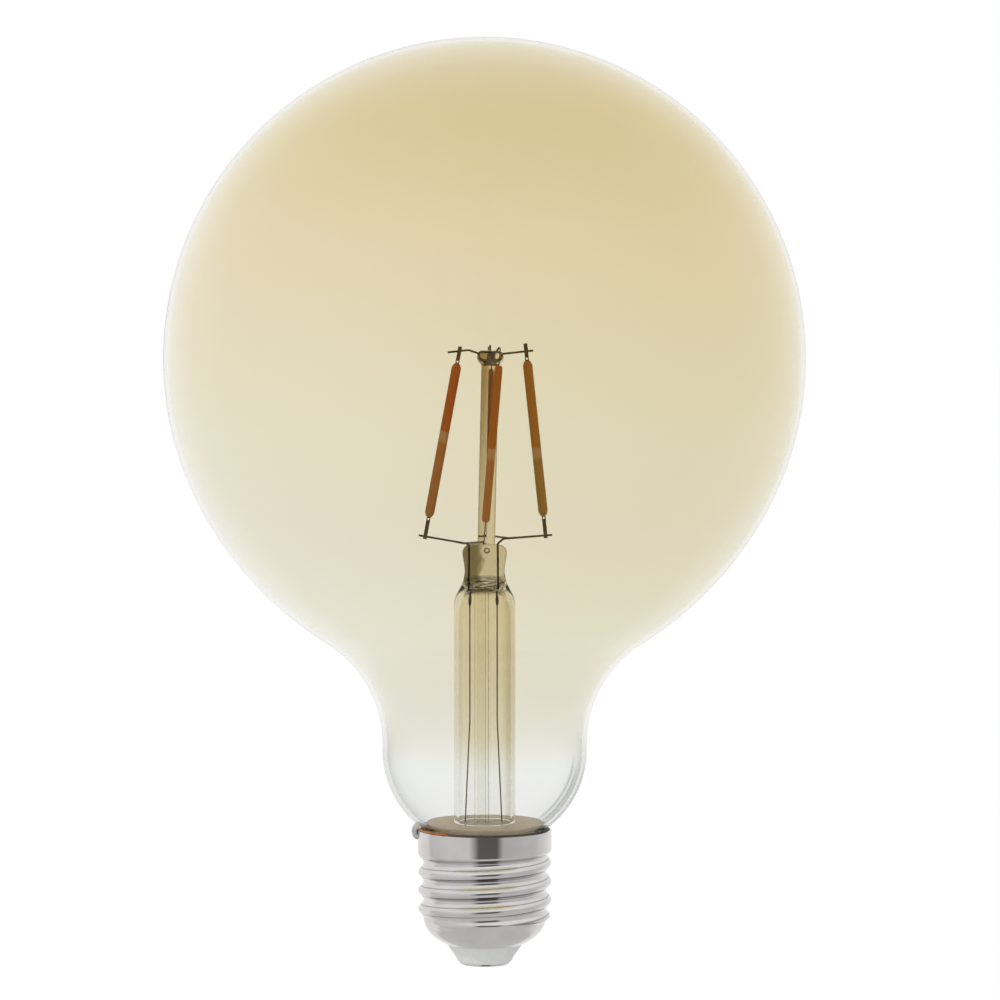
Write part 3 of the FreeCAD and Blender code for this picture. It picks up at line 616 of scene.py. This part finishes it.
def pressedGlass(vent):
    # lead glass: pale straw and smooth along the tube, wrinkled where it was pinched; painted shade
    # darkens the press's left, the melted ring's wavy lines, the tube's right side and the vent's rim
    material, tree, shader, axes = tintedGlass("pinched lead glass", stem)
    position = addNode(tree, "ShaderNodeTexCoord").outputs["Object"]
    melt = unevenSurface(
        tree, shader, stem["melt"], stem["meltDetail"], stem["bump"], stem["meltWarp"],
    )
    # painted shade in dark wavy lines round the melted ring
    lines = addNode(tree, "ShaderNodeValToRGB", [melt])
    fillRamp(lines, stem["meltShadeLines"])
    stain(tree, shader, stem["meltShade"], [
        (axes["Z"], stem["meltBottom"]), (axes["Z"], stem["meltTop"]), lines,
    ])
    # painted shade on the press's left, its edge made ragged by noise
    pressShadeNoise = addNode(tree, "ShaderNodeTexNoise", {
        "Vector": position, "Scale": cyclesPerMetre(stem["pressShadeSize"]), "Detail": stem["pressShadeDetail"],
    })
    reach = stem["pressShadeReach"] * millimetre
    ragged = addNode(tree, "ShaderNodeMath", [pressShadeNoise, reach, axes["X"]], operation="MULTIPLY_ADD")
    stain(tree, shader, stem["pressShadeColour"], [
        (ragged, stem["pressShadeEdge"]), (axes["Z"], stem["pressShadeBottom"]),
    ])
    # painted shade on the tube's right
    stain(tree, shader, stem["paintedShadeColour"], [(axes["X"], stem["farSide"])])
    # the painted shade round the vent is round as it is seen from the front, so its distance leaves out
    # the depth
    straight = addNode(tree, "ShaderNodeVectorMath", [position, (1, 0, 1)], operation="MULTIPLY")
    centre = (vent[0] * millimetre, 0, vent[2] * millimetre)
    away = addNode(
        tree, "ShaderNodeVectorMath", [straight, centre], operation="DISTANCE",
    ).outputs["Value"]
    stain(tree, shader, stem["rimStain"], [
        (away, stem["rimOutside"]), (away, stem["rimInside"]), (axes["Y"], stem["rimFront"]),
    ])
    return material


def buildStem():
    # from the press's top down the outside to the foot, then up the hollow to its dome
    base = stem["pressBase"]
    rings = [(width, depth, base + rise) for width, depth, rise in reversed(stem["press"])]
    end = stem["footTop"] + hairGap
    tube = stem["radius"]
    rings += [(tube, tube, height) for height in steps(base, end, stem["tubeSteps"])]
    rings += [(hollowRadius, hollowRadius, end)]
    rings += [(hollowRadius, hollowRadius, height) for height in steps(end, base, stem["tubeSteps"])]
    dome = arcPoints((0, base), hollowRadius, 0, 90, stem["domeSteps"])[1:-1] + [(0.0, hollowTop)]
    rings += [(x, x, z) for x, z in dome]
    mesh = ringMesh("stemGlass", rings, stem["segments"])
    vent = (stem["ventOffset"], -stem["ventFace"], pressTop - stem["ventDrop"])
    mesh = blowHole(mesh, vent, stem["ventRadius"])
    finishPiece("stemGlass", mesh, pressedGlass(vent), "stem_press")
    # the clear foot lies on the cement, so what the eye sees there is the cement's brown
    outer = stem["footRadius"]
    lower = stem["footTop"] - stem["wall"]
    foot = [(0.0, stem["footTop"]), (outer, stem["footTop"]), (outer, stem["footTop"] - stem["footLip"])]
    foot += [(stem["radius"] + stem["flare"], lower), (0.0, lower)]
    material = unevenFinish("glass foot over brown cement", stem["foot"])
    shader = material.node_tree.nodes["Principled BSDF"]
    shader.inputs["Specular IOR Level"].default_value = stem["footGloss"]
    mesh = turnedMesh("footGlass", foot, stem["segments"])
    finishPiece("footGlass", mesh, material, "stem_press")


exhaust = {
    "offset": -0.6,
    "radius": 1.45,
    "wall": 0.7,
    "top": 73.55,         # just under the stem's dome
    "tip": 17.8,
    "tipRadius": 0.6,
    "taper": 4.2,
    "segments": 32,
    "tubeSteps": 12,
    "tipSteps": 8,
    "ior": 1.15,
    "tint": [(17.0, "fafaf9"), (80.0, "faf9f5")],
    # painted dark outlines along the edges
    "paintedEdgeTone": [(17.0, "d6d7d4"), (44.0, "d6d4ca"), (80.0, "ccc2a6")],
    "paintedEdgeRise": [(0.45, 0.0), (0.8, 1.0)],
    # painted shade on the edge away from the window, by how far inside the tube's outline it sets in
    "farEdge": "8b8b82",
    "farEdgeInset": (0.2, 0.08),
    "lines": (0.5, 0.5, 20),    # as the drawing left them, 0.5 mm apart
    "linesDetail": 1.0,
    "bump": (0.02, 0.3),
}


def buildExhaust():
    # drawn glass: almost colourless, with faint lines along its length, painted dark outlines and painted
    # shade on its far edge
    material, tree, shader, axes = tintedGlass("drawn tube glass", exhaust)
    unevenSurface(tree, shader, exhaust["lines"], exhaust["linesDetail"], exhaust["bump"])
    radius = exhaust["radius"]
    # painted shade on the far edge
    ends = [exhaust["offset"] + radius - inset for inset in exhaust["farEdgeInset"]]
    stain(tree, shader, exhaust["farEdge"], [(axes["X"], ends)])
    # from the bottom of the bore up its inside, over the open top, and down the outside to the closed tip
    bore = radius - exhaust["wall"]
    shoulder = exhaust["tip"] + exhaust["taper"]
    top = exhaust["top"]
    tip = exhaust["tipRadius"]
    count = exhaust["tubeSteps"]
    profile = [(0.0, shoulder - bore)] + arcPoints((0, shoulder), bore, -90, 0, exhaust["tipSteps"])[1:]
    profile += [(bore, height) for height in steps(shoulder, top, count)] + [(radius, top)]
    profile += [(radius, height) for height in steps(top, shoulder, count)]
    profile += arcPoints((0, exhaust["tip"] + tip), tip, 0, -90, exhaust["tipSteps"])[:-1]
    profile += [(0.0, exhaust["tip"])]
    mesh = turnedMesh("exhaustGlass", profile, exhaust["segments"], (exhaust["offset"], 0.0))
    finishPiece("exhaustGlass", mesh, material, "exhaust_tube")


rod = {
    "length": 38.0,
    "offset": 0.31,
    "tilt": 1.25,
    "seat": 0.3,          # how far it stands in the press
    "radius": 1.72,
    "segments": 64,
    "steps": 12,
    # the melted button: radius and depth below its top
    "button": [
        (1.8, 0.0), (2.1, 0.1), (2.34, 0.35), (2.53, 0.75), (2.62, 1.25), (2.58, 1.7), (2.4, 2.1),
        (2.1, 2.45), (1.85, 2.7), (1.72, 3.0),
    ],
    "ior": 1.38,
    "tint": [(60.0, "e4d9be"), (90.0, "e3d7b8"), (125.0, "e0d3ae")],
    # painted dark outlines, paler at the button
    "paintedEdgeTone": [(60.0, "8f7e5a"), (115.0, "7d6c48"), (117.5, "cabe98"), (125.0, "cabe98")],
    "paintedEdgeRise": [(0.36, 0.0), (0.62, 1.0)],
    # painted shade: the side away from the window is darker, and more so higher up
    "shade": "b3a078",
    "shadeAcross": (0.3, -0.7),
    "shadeHeight": (88.0, 114.0),
    "leastShade": 0.35,
    "waves": (3.0, 3.0, 3.0),   # length of the slight waves in its skin
    "wavesDetail": 1.0,
    "bump": (0.05, 0.3),
}


def buildRod():
    # solid glass: brownish, with painted shade on its left and painted dark outlines
    material, tree, shader, axes = tintedGlass("solid glass rod", rod)
    unevenSurface(tree, shader, rod["waves"], rod["wavesDetail"], rod["bump"])
    # the place across the rod, with its lean taken out
    base = pressTop - rod["seat"]
    lean = -math.tan(math.radians(rod["tilt"]))
    upright = addNode(tree, "ShaderNodeMath", [axes["Z"], lean, axes["X"]], operation="MULTIPLY_ADD")
    middle = rod["offset"] + base * lean
    ends = [middle + across for across in rod["shadeAcross"]]
    heights = [height * millimetre for height in rod["shadeHeight"]]
    higher = addNode(tree, "ShaderNodeMapRange", [axes["Z"], *heights, rod["leastShade"], 1.0])
    # painted shade on the rod's left, stronger higher up
    stain(tree, shader, rod["shade"], [(upright, ends), higher])
    length = rod["length"]
    foot = rod["seat"] + hairGap
    underButton = length - rod["button"][-1][1]
    profile = [(0.0, length)] + [(radius, length - drop) for radius, drop in rod["button"]]
    profile += [(rod["radius"], height) for height in steps(underButton, foot, rod["steps"])]
    profile += [(0.0, foot)]
    mesh = turnedMesh("rodGlass", profile, rod["segments"])
    place = Vector((rod["offset"], 0, base)) * millimetre
    mesh.transform(Matrix.Translation(place) @ Matrix.Rotation(math.radians(rod["tilt"]), 4, "Y"))
    finishPiece("rodGlass", mesh, material, "support_rod")


buildStem()
buildExhaust()
buildRod()
print("stem ready")


# Screw shell: rolled from nickel-plated brass sheet

shell = {
    # inputs of the tree, in mm
    "Bottom": 4.0, "Top": 26.4, "Crest Radius": 13.05, "Depth": 1.05, "Pitch": 3.629,
    "Phase Height": 16.3, "Run Out": 1.5, "Bowl Height": 9.2, "Bowl Bend": 6.1, "End Radius": 7.7,
    "Rim Radius": 13.1, "Band": 3.8,
    "wall": 0.3,
    "threadShift": 0.67,  # share of the run-out that the thread starts below the bowl's top
    "aroundCount": 193,
    "upCount": 141,
}
plate = {
    "tones": [(0.3, "d8d6d4"), (0.7, "e4e2e0")],
    "patches": 5.0,
    "patchDetail": 3.0,
    # the rolling's fine lines run round the cap
    "lines": (16.667, 16.667, 0.35),
    "linesDetail": 2.0,
    "roughness": (0.05, 0.15),
    "bump": (0.01, 0.25),
    # painted shade: a darker line half way up each flank of the thread
    "flankRadius": 12.52,
    "flankWidth": (0.13, 0.03),
    "flank": "a3a2a1",
}

# each row names a value and says how it is worked out; a name in capitals is an input of the tree
shellSteps = [
    ("middle", "ADD", "Top", "Bottom"),
    ("height", "MULTIPLY_ADD", "middle", 0.5, "up"),
    # bowl: a quadratic bend from the valley radius down to the shell's end
    ("valley", "SUBTRACT", "Crest Radius", "Depth"),
    ("below", "SUBTRACT", "Bowl Height", "height"),
    ("drop", "MAXIMUM", "below", 0.0),
    ("steep", "SUBTRACT", "Bowl Height", "Bowl Bend"),
    ("full", "SUBTRACT", "Bowl Height", "Bottom"),
    ("b", "MULTIPLY", "steep", 2.0),
    ("a", "SUBTRACT", "b", "full"),
    ("ac", "MULTIPLY", "a", "drop"),
    ("minus4ac", "MULTIPLY", "ac", -4.0),
    ("inRoot", "MULTIPLY_ADD", "b", "b", "minus4ac"),
    ("root", "SQRT", "inRoot"),
    ("divisor", "ADD", "b", "root"),
    ("twiceDrop", "MULTIPLY", "drop", 2.0),
    ("t", "DIVIDE", "twiceDrop", "divisor"),
    ("squared", "MULTIPLY", "t", "t"),
    ("widening", "SUBTRACT", "End Radius", "valley"),
    ("bowl", "MULTIPLY_ADD", "widening", "squared", "valley"),
    # knuckle thread: a rounded wave that climbs one pitch a turn, and runs out above the bowl
    ("above", "SUBTRACT", "height", "Phase Height"),
    ("climb", "DIVIDE", "above", "Pitch"),
    ("turns", "MULTIPLY_ADD", "angle", -0.5 / math.pi, "climb"),
    ("phase", "MULTIPLY", "turns", 2 * math.pi),
    ("round", "COSINE", "phase"),
    ("crest", "MULTIPLY_ADD", "round", 0.5, 0.5),
    ("aboveBowl", "SUBTRACT", "height", "Bowl Height"),
    ("runOut", "DIVIDE", "aboveBowl", "Run Out"),
    ("rising", "ADD", "runOut", shell["threadShift"]),
    ("fade", "SMOOTHSTEP", "rising"),
    ("swell", "MULTIPLY", "Depth", "fade"),
    ("threaded", "MULTIPLY_ADD", "swell", "crest", "bowl"),
    # plain band at the rim
    ("bandBottom", "SUBTRACT", "Top", "Band"),
    ("aboveBand", "SUBTRACT", "height", "bandBottom"),
    ("intoBand", "DIVIDE", "aboveBand", "Run Out"),
    ("flattening", "ADD", "intoBand", 1.0),
    ("band", "SMOOTHSTEP", "flattening"),
    ("toRim", "SUBTRACT", "Rim Radius", "threaded"),
    ("radius", "MULTIPLY_ADD", "toRim", "band", "threaded"),
    ("cosine", "COSINE", "angle"),
    ("sine", "SINE", "angle"),
    ("x", "MULTIPLY", "radius", "cosine"),
    ("y", "MULTIPLY", "radius", "sine"),
]


def nickelPlate():
    # nickel on rolled brass: a clean warm-grey mirror, softened by fine lines, with a line of painted
    # shade on each flank of the thread
    material, tree, shader = newMaterial("nickel-plated rolled brass")
    position = addNode(tree, "ShaderNodeTexCoord").outputs["Object"]
    lines = unevenSurface(tree, shader, plate["lines"], plate["linesDetail"], plate["bump"])
    rough = addNode(tree, "ShaderNodeMapRange", [lines, 0.0, 1.0, *plate["roughness"]])
    tree.links.new(rough.outputs[0], shader.inputs["Roughness"])
    shader.inputs["Metallic"].default_value = 1.0
    patches = addNode(tree, "ShaderNodeTexNoise", {
        "Vector": position, "Scale": cyclesPerMetre(plate["patches"]), "Detail": plate["patchDetail"],
    })
    tone = addNode(tree, "ShaderNodeValToRGB", [patches])
    fillRamp(tone, plate["tones"])
    tree.links.new(tone.outputs[0], shader.inputs["Base Color"])
    # painted shade in a thin line half way up each flank of the thread
    out = distanceFromAxis(tree, position)
    fromFlank = addNode(
        tree, "ShaderNodeMath", [out, plate["flankRadius"] * millimetre], operation="SUBTRACT",
    )
    distance = addNode(tree, "ShaderNodeMath", [fromFlank], operation="ABSOLUTE")
    stain(tree, shader, plate["flank"], [(distance, plate["flankWidth"])], "MIX")
    return material


def screwShellTree(material):
    tree = bpy.data.node_groups.new("rolled screw shell", "GeometryNodeTree")
    tree.interface.new_socket("Geometry", in_out="OUTPUT", socket_type="NodeSocketGeometry")
    names = [name for name in shell if name[0].isupper()]
    sockets = {}
    for name in names:
        sockets[name] = tree.interface.new_socket(name, in_out="INPUT", socket_type="NodeSocketFloat")
    given = addNode(tree, "NodeGroupInput").outputs
    values = {name: given[name] for name in names}
    tall = addNode(tree, "ShaderNodeMath", [given["Top"], given["Bottom"]], operation="SUBTRACT")
    sheet = addNode(
        tree, "GeometryNodeMeshGrid", [2 * math.pi, tall, shell["aroundCount"], shell["upCount"]],
    )
    place = addNode(tree, "ShaderNodeSeparateXYZ", [addNode(tree, "GeometryNodeInputPosition")])
    values["angle"] = place.outputs["X"]
    values["up"] = place.outputs["Y"]
    for name, operation, *terms in shellSteps:
        inputs = [values[term] if isinstance(term, str) else term for term in terms]
        if operation == "SMOOTHSTEP":
            values[name] = addNode(tree, "ShaderNodeMapRange", inputs, interpolation_type=operation)
        else:
            values[name] = addNode(tree, "ShaderNodeMath", inputs, operation=operation)
    rolled = addNode(tree, "ShaderNodeCombineXYZ", [values["x"], values["y"], values["height"]])
    moved = addNode(tree, "GeometryNodeSetPosition", {"Geometry": sheet, "Position": rolled})
    closed = addNode(tree, "GeometryNodeMergeByDistance", {"Geometry": moved, "Distance": nearlyNothing})
    real = addNode(tree, "GeometryNodeRealizeInstances", [closed])
    dressed = addNode(tree, "GeometryNodeSetMaterial", {"Geometry": real, "Material": material})
    addNode(tree, "NodeGroupOutput", [dressed])
    return tree, sockets


def buildShell(material):
    tree, sockets = screwShellTree(material)
    blank = bpy.data.objects.new("blank", bpy.data.meshes.new("blank"))
    bpy.context.scene.collection.objects.link(blank)
    roll = blank.modifiers.new("roll", "NODES")
    roll.node_group = tree
    for name, socket in sockets.items():
        roll[socket.identifier] = shell[name] * millimetre
    wall = blank.modifiers.new("wall", "SOLIDIFY")
    wall.thickness = shell["wall"] * millimetre
    wall.offset = -1
    wall.use_even_offset = True
    mesh = bpy.data.meshes.new_from_object(blank.evaluated_get(bpy.context.evaluated_depsgraph_get()))
    bpy.data.objects.remove(blank)
    mesh.name = "screwShell"
    finishPiece("screwShell", mesh, material, "screw_shell")


nickel = nickelPlate()
buildShell(nickel)
print("screw shell ready")


# Other cap pieces

cement = {
    "low": "937a5c",
    "high": "b59c7a",
    "grain": 0.5,
    "roughness": 0.6,
    "bumpDepth": 0.08,
    # painted shade in the gap outside the globe's collar, by the distance from the axis
    "soot": "57504a",
    "gapShadeStart": (11.5, 12.1),
    # amber round the hole where the side lead leaves it, by the distance from there
    "amber": "a97c42",
    "amberReach": (7.0, 2.5),
    "leadHole": (-10.5, -6.5, 26.0),
}
capFinishes = {
    # matt light grey, with the faint grain of a spark-eroded mould
    "moulded PBT": {"low": "dcdcdb", "high": "e3e3e2", "grain": 0.4, "roughness": 0.55},
    # tin solder sets with a bright, slightly dimpled skin
    "tin solder": {
        "low": "b9b9b8", "high": "dcdcda", "grain": 0.8, "roughness": 0.22, "metallic": 1.0,
    },
    # warm and bright where it was cut, browner along its length
    "bare copper wire": {
        "low": "a8602c", "high": "cf8a4c", "grain": 1.0, "roughness": 0.35, "metallic": 1.0,
    },
    # deep green with a soft shine
    "green lacquered laminate": {"low": "1e5b37", "high": "2a6f45", "grain": 1.2, "roughness": 0.35},
    # near black, and smooth where the heat pulled it tight
    "shrunk vinyl sleeve": {"low": "17191f", "high": "20232a", "grain": 1.5, "roughness": 0.3},
    # pale and softly bright
    "tinned component lead": {
        "low": "b8b8b6", "high": "d4d4d2", "grain": 1.0, "roughness": 0.3, "metallic": 1.0,
    },
    # blue-green, with the slight sag of a dip
    "dipped resistor lacquer": {"low": "4b8088", "high": "5b939b", "grain": 1.0, "roughness": 0.35},
    # black and matt
    "moulded epoxy": {"low": "141415", "high": "1d1d1f", "grain": 0.4, "roughness": 0.5},
}
roundAngle = 50   # rounded pieces are smooth up to this
capPieces = [
    ("cap_insulator", "moulded PBT", "cap_plastic"),
    ("end_contact", "nickel", "nickel_plate"),
    ("basing_cement", "cement", "basing_cement"),
    ("rim_solder", "tin solder", "solder", roundAngle),
    ("side_lead_wire", "bare copper wire", "copper_wire", roundAngle),
    ("centre_lead_wire", "bare copper wire", "copper_wire", roundAngle),
    ("driver_board", "green lacquered laminate", "circuit_board"),
    ("capacitor", "shrunk vinyl sleeve", "capacitor_can"),
    ("capacitor_leads", "tinned component lead", "component_lead"),
    ("fusible_resistor", "dipped resistor lacquer", "resistor_body"),
    ("resistor_leads", "tinned component lead", "component_lead"),
    ("bridge_rectifier", "moulded epoxy", "chip_body"),
    ("driver_chip", "moulded epoxy", "chip_body"),
]


def resinCement():
    # basing cement: cured resin with mineral filler, brown and gritty
    material = unevenFinish("filled resin cement", cement)
    tree = material.node_tree
    shader = tree.nodes["Principled BSDF"]
    position = addNode(tree, "ShaderNodeTexCoord").outputs["Object"]
    out = distanceFromAxis(tree, position)
    # painted shade in the gap between the globe's collar and the rim
    stain(tree, shader, cement["soot"], [(out, cement["gapShadeStart"])], "MIX")
    leadHole = [place * millimetre for place in cement["leadHole"]]
    away = addNode(
        tree, "ShaderNodeVectorMath", [position, leadHole], operation="DISTANCE",
    ).outputs["Value"]
    stain(tree, shader, cement["amber"], [(away, cement["amberReach"])], "MIX")
    return material


finishes = {name: unevenFinish(name, look) for name, look in capFinishes.items()}
finishes["nickel"] = nickel
finishes["cement"] = resinCement()
for node, finish, slot, *sharpAngle in capPieces:
    smoothCopy(node, finishes[finish], slot, *sharpAngle)
print("cap ready")


# Wires: oxidised nickel inside the globe, thin copper-clad tails in the stem

wires = {
    # oxidised by the sealing flame: dark brown with a dull shine
    "nickel": {"low": "4f4128", "high": "645335", "grain": 0.8, "roughness": 0.5, "metallic": 1.0},
    # drawn copper skin: a warmer, lighter brown
    "copper": {"low": "6e5c42", "high": "867352", "grain": 1.5, "roughness": 0.5, "metallic": 1.0},
    "sharpAngle": 60,
    # slim bead of weld at each inner lead: its radius in mm, and how its ends are rounded
    "knot": 0.32,
    "knotAngle": 75,
    "knotSteps": 10,
    "knotSegments": 24,
}
nickelWire = unevenFinish("oxidised nickel wire", wires["nickel"])
copperTail = unevenFinish("copper-clad lead wire", wires["copper"])
for node in [
    "side_support_wire", "cross_support_wire", "left_inner_lead", "right_inner_lead",
    "front_branch_lead", "rear_branch_lead",
]:
    smoothCopy(node, nickelWire, "nickel_wire", wires["sharpAngle"])
for side in ("left", "right"):
    lowest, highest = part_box(side + "_weld_knot")
    halfHeight = (highest[2] - lowest[2]) / 2 / millimetre
    centre = [(lowest[n] + highest[n]) / 2 / millimetre for n in range(3)]
    half = arcPoints((0, 0), 1, wires["knotAngle"], -wires["knotAngle"], wires["knotSteps"])
    half = [(0.0, 1.0)] + half + [(0.0, -1.0)]
    bead = [(wires["knot"] * x, centre[2] + halfHeight * z) for x, z in half]
    knot = turnedMesh(side + "WeldKnot", bead, wires["knotSegments"], centre[:2])
    finishPiece(side + "WeldKnot", knot, nickelWire, side + "_weld_knot")
for node in ["left_outer_lead", "right_outer_lead"]:
    smoothCopy(node, copperTail, "copper_wire", wires["sharpAngle"])
print("wires ready")


# Filaments: each coat has its own tones, and a paler slanted band just below the line where its upper tone
# begins

filament = {
    "low": 82.0,
    "high": 116.0,
    # slant is how much the band climbs across the coat
    "left": {"meet": 104.7, "slant": 0.45, "top": "a4581a", "foot": "9c6a34", "lower": "9f6833"},
    "right": {"meet": 101.4, "slant": 0.1, "top": "9f6924", "foot": "94702f", "lower": "987031"},
    "front": {"meet": 101.6, "slant": 0.1, "top": "9d5e20", "foot": "9f6833", "lower": "9f6833"},
    "rear": {"meet": 103.0, "slant": 0.1, "top": "9d5e20", "foot": "9f6833", "lower": "9f6833"},
    "band": "ab8257",
    # shares of the height from low to high, below the meeting line: fade-in, bottom and top of the band
    "bandPlaces": (0.085, 0.05, 0.006),
    "lowerStart": 0.6,    # share of the way up to the meeting where the lower tone is reached
    "lumps": (0.9, 0.9, 0.9),   # size of the lumps in the silicone's skin
    "lumpsDetail": 2.0,
    "bump": (0.05, 0.4),
    "roughness": 0.6,
    "gloss": 0.08,
    "coatAngle": 40,
    # dulled by the furnace
    "tab": {"low": "4e422d", "high": "63543a", "grain": 0.7, "roughness": 0.5, "metallic": 1.0},
    # pale and matt, it carries the light chips
    "strip": {"low": "dedbd0", "high": "e8e5db", "grain": 0.5, "roughness": 0.6},
}


def phosphorSilicone(end):
    # silicone loaded with phosphor: deep orange-brown and matt
    material, tree, shader = newMaterial("phosphor silicone " + end)
    own = filament[end]
    low = filament["low"]
    high = filament["high"]
    position = addNode(tree, "ShaderNodeTexCoord").outputs["Object"]
    axes = addNode(tree, "ShaderNodeSeparateXYZ", [position]).outputs
    tilted = addNode(
        tree, "ShaderNodeMath", [axes["X"], own["slant"], axes["Z"]], operation="MULTIPLY_ADD",
    )
    lowest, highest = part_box(end + "_filament_coat")
    shift = own["slant"] * (lowest[0] + highest[0]) / 2
    ends = [low * millimetre + shift, high * millimetre + shift]
    height = addNode(tree, "ShaderNodeMapRange", [tilted, *ends])
    meet = (own["meet"] - low) / (high - low)
    fadeIn, bottom, top = [meet - drop for drop in filament["bandPlaces"]]
    tone = addNode(tree, "ShaderNodeValToRGB", [height])
    fillRamp(tone, [
        (0.0, own["foot"]), (meet * filament["lowerStart"], own["lower"]), (fadeIn, own["lower"]),
        (bottom, filament["band"]), (top, filament["band"]), (meet, own["top"]), (1.0, own["top"]),
    ])
    tree.links.new(tone.outputs[0], shader.inputs["Base Color"])
    shader.inputs["Roughness"].default_value = filament["roughness"]
    shader.inputs["Specular IOR Level"].default_value = filament["gloss"]
    unevenSurface(tree, shader, filament["lumps"], filament["lumpsDetail"], filament["bump"])
    return material


tabSteel = unevenFinish("punched steel strip", filament["tab"])
sintered = unevenFinish("sintered alumina strip", filament["strip"])
for end in ("left", "right", "front", "rear"):
    smoothCopy(end + "_filament_coat", phosphorSilicone(end), "filament_coat", filament["coatAngle"])
    smoothCopy(end + "_filament_strip", sintered, "carrier_strip")
    smoothCopy(end + "_lower_tab", tabSteel, "filament_tab")
    smoothCopy(end + "_upper_tab", tabSteel, "filament_tab")
print("filaments ready")
